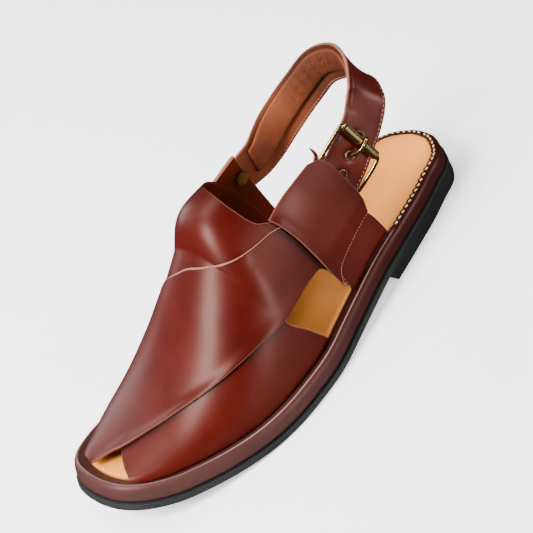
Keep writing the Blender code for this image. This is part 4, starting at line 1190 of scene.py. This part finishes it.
def makeTip(name, marks, wide, rows=28, cols=16):
    # a tapering strip along smooth marks in the strap's own frame before the bar
    marks = np.array(marks) / 1000
    path = follow(np.column_stack([np.linspace(0, 1, len(marks)), marks]), np.linspace(0, 1, rows), True)
    base, _, across, off = strapFrame(np.clip(barSpot - path[:, 0], 0, strapLength))
    path = base + across * path[:, 1:2] + off * path[:, 2:]
    way = unit(np.gradient(path, axis=0))
    side = unit(np.cross(way, off))
    thin = unit(np.cross(side, way))
    taper = np.sqrt(np.clip(1.02 - np.linspace(0, 1, rows) ** 1.6, 0.02, 1))[:, None, None]
    c, s = squaredRing(cols, 0.6)
    points = path[:, None] + side[:, None] * c[None, :, None] * taper * wide / 2
    points = points + thin[:, None] * s[None, :, None] * 0.00055
    cut = np.broadcast_to((np.abs(s) < 0.875) * 0.6, points.shape[:2])
    makePiece(name, points, tubeFaces(rows, cols), [upperLeather], {"cut": cut})


for name, (marks, wide) in zip(("chapeTipA", "chapeTipB"), tips):
    makeTip(name, marks, wide)
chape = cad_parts["buckle_chape"]
chape.data.materials.clear()
chape.data.materials.append(upperLeather)
print("metal ready")

# floor, light and camera; reflections show neither the floor nor the window's fill

floorMesh = bpy.data.meshes.new("floor")
floorMesh.from_pydata([(-3, -3, 0), (3, -3, 0), (3, 3, 0), (-3, 3, 0)], [], [(0, 1, 2, 3)])
floorMesh.materials.append(startMaterial(
    "paleFloor", Roughness=0.8, Specular_IOR_Level=0.1, Emission_Strength=0.85, Base_Color=(0.95, 0.95, 0.95, 1),
    Emission_Color=(1, 1, 1, 1))[0])
floor = addObject("floor", floorMesh)
floor.visible_glossy = False

world = bpy.data.worlds.new("studio")
bpy.context.scene.world = world
world.use_nodes = True
background = world.node_tree.nodes["Background"]
background.inputs["Color"].default_value = (1, 1, 1, 1)
background.inputs["Strength"].default_value = 0.07

# lights: (name, place, target, width, height, strength, seen in reflections)
lights = [
    ("crownStrip", (-0.02, -0.80, 0.98), (0.0, -0.03, 0.05), 0.44, 0.80, 55, True),
    ("overhead", (-0.50, 0.06, 1.45), (0.0, 0.0, 0.0), 0.70, 0.70, 17, True),
    ("windowFill", (0.80, 0.15, 1.15), (0.0, 0.02, 0.05), 0.30, 0.30, 4, False),
    ("outerSide", (1.08, 0.26, 0.22), (0.02, 0.03, 0.05), 0.12, 0.22, 7, True),
    ("strapSide", (0.70, 0.74, 0.20), (0.0, 0.08, 0.10), 0.12, 0.24, 6, True),
    ("backRim", (-0.95, -0.15, 0.42), (0.0, -0.03, 0.05), 0.50, 0.60, 6, True)]
for name, place, target, sizeX, sizeY, power, mirrored in lights:
    data = bpy.data.lights.new(name, "AREA")
    data.shape = "RECTANGLE"
    data.size, data.size_y, data.energy = sizeX, sizeY, power
    light = addObject(name, data)
    light.location = place
    light.visible_glossy = mirrored
    light.rotation_euler = (Vector(target) - Vector(place)).to_track_quat("-Z", "Y").to_euler()

# the photograph's view: from the outer side and above, rolled
view = {"place": (0.7964 + shiftX, -0.29886, 0.72208), "look": (-0.72907, 0.28601, -0.62182),
        "up": (-0.27352, 0.71105, 0.64776), "lens": 133.79}
look, up = Vector(view["look"]).normalized(), Vector(view["up"]).normalized()
right = look.cross(up).normalized()
up = right.cross(look)
cameraData = bpy.data.cameras.new("photoView")
cameraData.sensor_fit = "HORIZONTAL"
cameraData.sensor_width = 36.0
cameraData.lens = view["lens"]
cameraData.clip_start = 0.01
camera = addObject("photoView", cameraData)
turn = Matrix((right, up, -look)).transposed().to_4x4()
camera.matrix_world = Matrix.Translation(view["place"]) @ turn
bpy.context.scene.camera = camera

print("scene ready")
